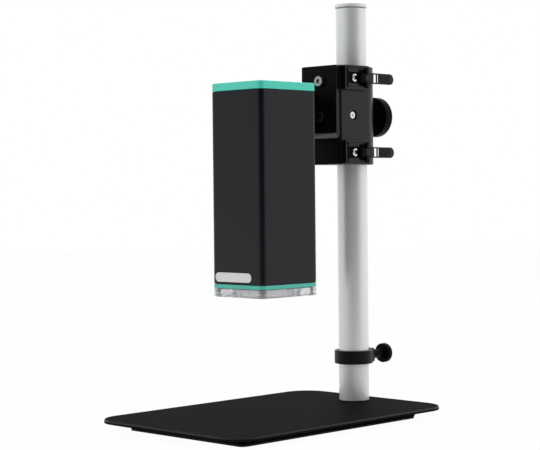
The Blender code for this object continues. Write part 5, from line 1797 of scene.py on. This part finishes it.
@dataclass
class Head(Assembly):
    """Extruded housing with its teal cap and ring, the clear light ring, the label plate and the socket."""

    corner: float = 0.0038
    corner_steps: int = 12
    wall: float = 0.0020
    seam: float = 0.00025
    hole: float = 0.0022
    hole_from: float = -0.004
    socket_slot: float = 0.006
    socket_slot_over: float = 0.002
    cap_round: float = 0.0008
    panel_inset: float = 0.0040
    panel_corner: float = 0.0020
    groove_width: float = 0.0006
    groove_corner: float = 0.0016
    ring_width: float = 0.0055
    ring_opening: float = 0.0050
    window_bottom: float = 0.0006
    aperture: float = 0.0125
    aperture_edge: float = 0.0004
    frosted_to: float = 0.0008
    frosted_slope: float = 0.6
    countersink: float = 0.00285
    countersink_from: float = 0.0006
    countersink_to: float = 0.0020
    ring_hole: float = 0.00155
    thread_from: float = 0.0030
    screw_face: float = 0.96
    screw_lip: float = 0.0002
    screw_neck: float = 0.0017
    thread: float = 0.00125
    thread_end: float = 0.0008
    cross_length: float = 0.0014
    cross_width: float = 0.0004
    cross_depth: float = 0.0007
    label_recess: float = 0.0005
    label_flat: float = 0.0001
    label_steps: int = 14
    label_edge: float = 0.00015
    label_rim: float = 0.00055
    label_rim_depth: float = 0.00012
    shell: float = 0.0004
    shell_depth: float = 0.005
    shell_edge: float = 0.0001
    tongue: tuple[float, float, float] = (0.0033, 0.0042, 0.00035)
    tongue_drop: float = 0.0007
    contact: tuple[float, float, float] = (0.00018, 0.0032, 0.0001)
    contact_drop: float = 0.0012
    contact_pitch: float = 0.001
    contact_count: int = 6

    def build(self) -> None:
        """Models and mounts the microscope's outside."""
        self.housing()
        self.top_cap()
        self.lower_ring()
        self.light_ring()
        self.ring_screws()
        self.label()
        self.usb_socket()
        self.keep(ZINC_STEEL, "nut_plate")

    def housing(self) -> None:
        """Hollow extrusion, with a recess for the label, a slot for the socket and two holes in its back."""
        low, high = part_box("housing")
        body = self.plate("microscope_body", low, high, self.seam, self.seam, 2)
        wall = Vector((self.wall, self.wall, 0.0))
        over = Vector((0.0, 0.0, OVER))
        inner = self.corner - self.wall
        inside = RoundedBlock(low + wall - over, high - wall + over, inner, corner_steps=6).build("inside")
        label_low, label_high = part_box("label_plate")
        height = label_high.z - label_low.z + 2 * CLEAR
        recess = RoundedBlock(
            (label_low.x - CLEAR, label_low.z - CLEAR, 0.0),
            (label_high.x + CLEAR, label_high.z + CLEAR, 2 * OVER),
            height / 2 - self.label_flat,
            12,
        ).build("recess")
        place(recess, Facing.MINUS_Y, (0.0, low.y + self.label_recess, 0.0))
        carve(body, inside, recess)
        socket_low, socket_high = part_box("usb_socket")
        slot = RoundedBlock(
            (socket_low.x - CLEAR, socket_low.z - CLEAR, 0.0),
            (socket_high.x + CLEAR, socket_high.z + CLEAR, self.socket_slot),
            (socket_high.z - socket_low.z) / 2,
            8,
        ).build("slot")
        carve(body, place(slot, Facing.MINUS_Y, (0.0, high.y + self.socket_slot_over, 0.0)))
        for name in HEAD_SCREWS:
            at = (0.0, high.y, centre(name).z)
            drill(body, self.hole, (self.hole_from, OVER), Facing.PLUS_Y, at)
        self.add(body, HOUSING_ANODISED, ("housing",))

    def plate(self, name: str, low: Point, high: Point, top: float, bottom: float, steps: int) -> Piece:
        """Body with the microscope's outline.

        Args:
            name: the piece's name.
            low: its lowest corner.
            high: its highest corner.
            top: rounding of its upper rim.
            bottom: rounding of its lower rim.
            steps: segments across each rounding.

        Returns:
            The piece.
        """
        return RoundedBlock(low, high, self.corner, self.corner_steps, top, bottom, steps).build(name)

    def top_cap(self) -> None:
        """Moulded cap with a soft upper edge and a slightly raised panel."""
        low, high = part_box("top_cap")
        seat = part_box("housing")[1].z + CLEAR
        cap = self.plate("teal_cap", (low.x, low.y, seat), high, self.cap_round, self.seam, 4)
        inset = self.panel_inset
        groove_low = Vector((low.x + inset, low.y + inset, high.z - CLEAR))
        groove_high = Vector((high.x - inset, high.y - inset, high.z + OVER))
        groove = RoundedBlock(groove_low, groove_high, self.panel_corner, corner_steps=6).build("groove")
        rim = Vector((self.groove_width, self.groove_width, 0.0))
        panel_low = groove_low + rim - Vector((0.0, 0.0, OVER))
        panel = RoundedBlock(panel_low, groove_high - rim, self.groove_corner, 6).build("panel")
        carve(groove, panel)
        self.add(carve(cap, groove), TEAL, ("top_cap",))

    def lower_ring(self) -> None:
        """Flat moulded frame between the housing and the light ring."""
        low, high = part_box("lower_ring")
        ring = self.plate("teal_ring", low, high, self.seam, self.seam, 2)
        rim = Vector((self.ring_width, self.ring_width, 0.0))
        over = Vector((0.0, 0.0, OVER))
        opening = RoundedBlock(low + rim - over, high - rim + over, self.ring_opening, corner_steps=10)
        self.add(carve(ring, opening.build("opening")), TEAL_RING, ("lower_ring",))

    def light_ring(self) -> None:
        """Clear plate with a round frosted aperture and four countersunk holes, dark at their threads."""
        low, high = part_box("light_ring")
        middle = centre("light_ring")
        plate = self.plate("light_window", low, high, CLEAR, self.window_bottom, 3)
        edge = self.aperture_edge
        profile = [
            (self.aperture + edge, low.z - OVER),
            (self.aperture + edge, low.z),
            (self.aperture, low.z + edge),
            (self.aperture, high.z - CLEAR),
            (self.aperture + CLEAR, high.z + OVER),
        ]
        carve(plate, place(turned("aperture", profile), Facing.PLUS_Z, (middle.x, middle.y, 0.0)))
        hole_profile = [
            (self.countersink, low.z - OVER),
            (self.countersink, low.z + self.countersink_from),
            (self.ring_hole, low.z + self.countersink_to),
            (self.ring_hole, low.z + self.thread_from),
            (self.ring_hole, high.z + OVER),
        ]
        holes = [centre(f"ring_screw_{number}") for number in range(1, 5)]
        for hole in holes:
            carve(plate, place(turned("hole", hole_profile, 32), Facing.PLUS_Z, (hole.x, hole.y, 0.0)))
        self.add(plate, CLEAR_ACRYLIC, ("light_ring",))
        wall = self.ring_hole + MARGIN
        self.paint.coat_faces(
            plate,
            BLACK_STEEL_AND_SHADE,
            lambda at, normal: at.z > low.z + self.thread_from
            and any(math.hypot(at.x - hole.x, at.y - hole.y) < wall for hole in holes),
        )
        frosted = self.aperture + self.frosted_to
        self.paint.coat_faces(
            plate,
            FROSTED_ACRYLIC,
            lambda at, normal: math.hypot(at.x - middle.x, at.y - middle.y) < frosted
            and abs(normal.z) < self.frosted_slope,
        )

    def ring_screws(self) -> None:
        """Four black countersunk screws with cross recesses."""
        low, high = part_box("ring_screw_1")
        head = (high.x - low.x) / 2
        length = high.z - low.z
        lip = self.screw_lip
        profile = [
            (head * self.screw_face, 0.0),
            (head, lip),
            (head, 2 * lip),
            (self.thread, self.screw_neck),
            (self.thread, length - 2 * lip),
            (self.thread_end, length),
        ]
        first = turned("corner_screw_1", profile, SIDES_SMALL)
        long, short = self.cross_length, self.cross_width
        for reach_x, reach_y in ((long, short), (short, long)):
            high = (reach_x, reach_y, self.cross_depth)
            arm = RoundedBlock((-reach_x, -reach_y, -OVER), high, 0.0).build("arm")
            carve(first, arm)
        seats = [centre(f"ring_screw_{number}") for number in range(1, 5)]
        place(first, Facing.PLUS_Z, (seats[0].x, seats[0].y, low.z))
        screws = [first]
        for number, seat in enumerate(seats[1:], 2):
            screws.append(duplicate(first, f"corner_screw_{number}", seat - seats[0]))
        for number, screw in enumerate(screws, 1):
            self.add(screw, BLACK_STEEL_AND_SHADE, (f"ring_screw_{number}",))

    def label(self) -> None:
        """Bare plate with round ends and a raised rim."""
        low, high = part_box("label_plate")
        thickness = high.y - low.y
        round_end = (high.z - low.z) / 2 - self.label_flat / 2
        steps = self.label_steps
        plate = RoundedBlock(
            (low.x, low.z, 0.0),
            (high.x, high.z, thickness),
            round_end,
            steps,
            top=self.label_edge,
            rim_steps=2,
        ).build("bare_label")
        inset = self.label_rim
        face = RoundedBlock(
            (low.x + inset, low.z + inset, thickness - self.label_rim_depth),
            (high.x - inset, high.z - inset, thickness + OVER),
            round_end - inset,
            steps,
        ).build("face")
        carve(plate, face)
        place(plate, Facing.MINUS_Y, (0.0, high.y, 0.0))
        self.add(plate, LABEL_PLATE, ("label_plate",))

    def usb_socket(self) -> None:
        """Folded steel shell with a black tongue and its contacts."""
        low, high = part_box("usb_socket")
        depth = high.y - low.y
        wall = self.shell
        round_side = (high.z - low.z) / 2 - self.label_flat / 2
        shell = RoundedBlock(
            (low.x, -high.z, 0.0), (high.x, -low.z, depth), round_side, 10, top=self.shell_edge, rim_steps=1
        ).build("socket_shell")
        mouth = RoundedBlock(
            (low.x + wall, -high.z + wall, depth - self.shell_depth),
            (high.x - wall, -low.z - wall, depth + OVER),
            round_side - wall,
            10,
        ).build("mouth")
        carve(shell, mouth)
        place(shell, Facing.PLUS_Y, (0.0, low.y, 0.0))
        self.add(shell, ZINC_STEEL, ("usb_socket",))

        middle = centre("usb_socket").z
        side, length, half = self.tongue
        end = high.y - self.tongue_drop
        tongue = RoundedBlock(
            (-side, end - length, middle - half), (side, end, middle + half), CLEAR, 3
        ).build("socket_tongue")
        self.add(tongue, MOULDED_BLACK)
        side, length, thick = self.contact
        end = high.y - self.contact_drop
        for number in range(self.contact_count):
            x = self.contact_pitch * (number - (self.contact_count - 1) / 2)
            contact = RoundedBlock(
                (x - side, end - length, middle + CLEAR), (x + side, end, middle + CLEAR + thick), 0.0
            ).build(f"socket_contact_{number + 1}")
            self.add(contact, CONTACT_GOLD)


@dataclass
class Optics(Assembly):
    """What is inside the microscope: lights, lens, focus drive and electronics."""

    led_count: int = 8
    led_circle: float = 0.0152
    led_size: float = 0.0028
    led_margin: float = 0.0001
    led_top: float = 0.0002
    led_bottom: float = 0.00015
    dome_sunk: float = 0.00005
    dome: Profile = ((0.00085, 0.0), (0.00080, 0.00012), (0.00055, 0.00025), (0.00015, 0.00032))

    def build(self) -> None:
        """Dresses the inner pieces and models the lights."""
        for name in ("lens_barrel", "lens_retaining_ring", "focus_arm"):
            self.resurface(name, BLACK_ANODISED, "focus_group")
        for name in ("front_lens", "rear_lens"):
            self.resurface(name, LENS_GLASS, "focus_group")
        self.resurface("lead_screw", ZINC_STEEL, "focus_screw")
        for name in ("guide_rod", "focus_motor"):
            self.resurface(name, ZINC_STEEL)
        self.resurface("optics_chassis", BLACK_ANODISED)
        self.keep(BLACK_ANODISED, "sensor_plate")
        self.keep(SENSOR_DIE, "image_sensor")
        self.keep(SOLDER_RESIST, "sensor_board", "main_board", "led_board")
        self.lights()

    def lights(self) -> None:
        """Light emitting diodes on the underside of their board."""
        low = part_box("led_board")[0]
        middle = centre("led_board")
        half = self.led_size / 2 - self.led_margin
        for number in range(self.led_count):
            angle = 2.0 * math.pi * number / self.led_count
            x = middle.x + self.led_circle * math.cos(angle)
            y = middle.y + self.led_circle * math.sin(angle)
            dome = turned(f"led_dome_{number + 1}", self.dome, 24)
            place(dome, Facing.MINUS_Z, (x, y, low.z + self.dome_sunk))
            self.add(dome, LED_PHOSPHOR)
            corner = (x - half, y - half, low.z - self.led_bottom)
            far_corner = (x + half, y + half, low.z + self.led_top)
            frame = RoundedBlock(corner, far_corner, CLEAR, 3).build(f"led_frame_{number + 1}")
            self.add(frame, LED_BODY)


# Studio

@dataclass(frozen=True)
class SoftBox:
    """Square lamp, with its place, its side and its power in watts."""

    name: str
    at: Point
    size: float
    power: float


@dataclass
class Studio:
    """Pale floor and backdrop, soft lamps and the camera. Angles are in degrees."""

    target: Point = (0.0, 0.0, 0.13)
    camera_at: Point = (0.7277, -0.7392, 0.1531)
    azimuth: float = 44.68
    pitch: float = 1.19
    roll: float = -0.57
    lens: float = 104.9
    sensor: float = 36.0
    tent: float = 0.88
    dark: float = 0.05
    dark_azimuth: float = 53.0
    dark_from: float = 0.40
    dark_to: float = 0.98
    slope: float = 0.13
    paper_size: float = 8.0
    paper_color: Color = (0.86, 0.86, 0.86)
    paper_roughness: float = 0.9
    floor_away: float = 3.4
    floor_glow: float = 0.97
    wall_away: float = 3.2
    wall_height: float = 3.0
    boxes: tuple[SoftBox, ...] = (
        SoftBox("key_lamp", (1.05, 0.80, 0.80), 0.90, 3.8),
        SoftBox("fill_lamp", (-0.90, -1.05, 0.50), 0.90, 3.8),
        SoftBox("top_lamp", (-0.05, 0.30, 1.40), 0.80, 4.0),
    )

    def build(self) -> None:
        """Makes the studio."""
        self.backdrop()
        self.surroundings()
        for box in self.boxes:
            self.lamp(box)
        self.camera()

    def paper(self, name: str, glow_share: float) -> bpy.types.Material:
        """White for the camera and in reflections, with a share of it lit, which keeps the object's shadow.

        Args:
            name: the material's name.
            glow_share: how much of it is white whatever falls on it.

        Returns:
            The material.
        """
        material = bpy.data.materials.new(name)
        material.use_nodes = True
        tree = material.node_tree
        shader = tree.nodes["Principled BSDF"]
        plain = {
            "Base Color": (*self.paper_color, 1.0),
            "Roughness": self.paper_roughness,
            "Specular IOR Level": 0.0,
        }
        fill(tree, shader, plain)
        glow = wire(tree, "Emission", {"Color": WHITE, "Strength": 1.0})
        path = wire(tree, "LightPath", {}).outputs
        seen = math_node(tree, "ADD", path["Is Camera Ray"], path["Is Glossy Ray"])
        seen = math_node(tree, "ADD", seen, path["Is Transmission Ray"])
        share = math_node(tree, "MULTIPLY", math_node(tree, "MINIMUM", seen, 1.0), glow_share)
        mix = wire(tree, "MixShader", {0: share, 1: shader.outputs["BSDF"], 2: glow.outputs["Emission"]})
        fill(tree, tree.nodes["Material Output"], {"Surface": mix.outputs["Shader"]})
        return material

    def backdrop(self) -> None:
        """Floor and wall of white paper, with the floor's edge between the object and the camera's stand."""
        angle = math.radians(self.azimuth)
        away = Vector((-math.sin(angle), math.cos(angle), 0.0))
        wall_at = away * self.wall_away + Vector((0.0, 0.0, self.wall_height))
        for name, at, turn, glow_share in (
            ("paper_floor", away * self.floor_away, (0.0, 0.0, angle), self.floor_glow),
            ("paper_wall", wall_at, (math.pi / 2, 0.0, angle), 1.0),
        ):
            add = bpy.ops.mesh.primitive_plane_add
            sheet = primitive(name, add, size=self.paper_size, location=at, rotation=turn)
            sheet.data.materials.append(self.paper(name, glow_share))

    def surroundings(self) -> None:
        """White tent, dark near the camera and lighter to its right, and white where the paper ends."""
        world = bpy.data.worlds.new("studio_tent")
        bpy.context.scene.world = world
        world.use_nodes = True
        tree = world.node_tree
        way = wire(tree, "TexCoord", {}).outputs["Generated"]
        angle = math.radians(self.dark_azimuth)
        dark_way = (math.sin(angle), -math.cos(angle), 0.0)
        towards = wire(tree, "VectorMath", {0: way, 1: dark_way}, operation="DOT_PRODUCT")
        limits = {
            "Value": towards.outputs["Value"],
            "From Min": self.dark_from,
            "From Max": self.dark_to,
            "To Min": self.tent,
            "To Max": self.dark,
        }
        fade = wire(tree, "MapRange", limits, interpolation_type="SMOOTHSTEP")
        angle = math.radians(self.azimuth)
        level = (math.cos(angle), math.sin(angle), 0.0)
        across = wire(tree, "VectorMath", {0: way, 1: level}, operation="DOT_PRODUCT")
        lift = math_node(tree, "MULTIPLY", across.outputs["Value"], self.slope)
        strength = math_node(tree, "MULTIPLY", fade.outputs["Result"], math_node(tree, "ADD", lift, 1.0))
        soft = tree.nodes["Background"]
        fill(tree, soft, {"Color": WHITE, "Strength": strength})
        bright = wire(tree, "Background", {"Color": WHITE, "Strength": 1.0})
        seen = wire(tree, "LightPath", {}).outputs["Is Camera Ray"]
        sides = {0: seen, 1: soft.outputs["Background"], 2: bright.outputs["Background"]}
        mix = wire(tree, "MixShader", sides)
        fill(tree, tree.nodes["World Output"], {"Surface": mix.outputs["Shader"]})

    def lamp(self, box: SoftBox) -> None:
        """Hangs a soft box that points at the object, and that no reflection shows.

        Args:
            box: the lamp.
        """
        data = bpy.data.lights.new(box.name, "AREA")
        data.size = box.size
        data.energy = box.power
        lamp = bpy.data.objects.new(box.name, data)
        bpy.context.scene.collection.objects.link(lamp)
        lamp.location = Vector(box.at)
        lamp.rotation_euler = (Vector(self.target) - Vector(box.at)).to_track_quat("-Z", "Y").to_euler()
        lamp.visible_glossy = False

    def camera(self) -> None:
        """Camera at the photograph's viewing angle."""
        angle = math.radians(self.azimuth)
        tilt = math.radians(self.pitch)
        turn = math.radians(self.roll)
        ahead = Vector((-math.sin(angle) * math.cos(tilt), math.cos(angle) * math.cos(tilt), -math.sin(tilt)))
        level = Vector((math.cos(angle), math.sin(angle), 0.0))
        over = level.cross(ahead)
        right = level * math.cos(turn) + over * math.sin(turn)
        above = over * math.cos(turn) - level * math.sin(turn)
        data = bpy.data.cameras.new("camera")
        data.lens = self.lens
        data.sensor_width = self.sensor
        camera = bpy.data.objects.new("camera", data)
        bpy.context.scene.collection.objects.link(camera)
        matrix = Matrix((right, above, -ahead)).transposed().to_4x4()
        camera.matrix_world = Matrix.Translation(Vector(self.camera_at)) @ matrix
        bpy.context.scene.camera = camera


def main() -> None:
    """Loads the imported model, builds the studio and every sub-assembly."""
    logging.basicConfig(level=logging.INFO, format="%(name)s: %(message)s")
    for thing in list(bpy.data.objects):
        bpy.data.objects.remove(thing, do_unlink=True)
    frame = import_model()
    Studio().build()
    shared = (Paintbox(), frame["nodes"])
    assemblies = (
        Stand(*shared, "stand"),
        Sleeve(*shared, "carriage"),
        OffsetBracket(*shared, "carriage"),
        CableClip(*shared, "carriage", "upper_clip"),
        CableClip(*shared, "carriage", "lower_clip"),
        ClampKnob(*shared, "clamp_knob_body"),
        StopCollar(*shared, "collar"),
        Head(*shared, "carriage"),
        Optics(*shared, "carriage"),
    )
    for assembly in assemblies:
        assembly.build()

    bpy.context.scene.view_settings.view_transform = "Standard"


if __name__ == "__main__":
    main()
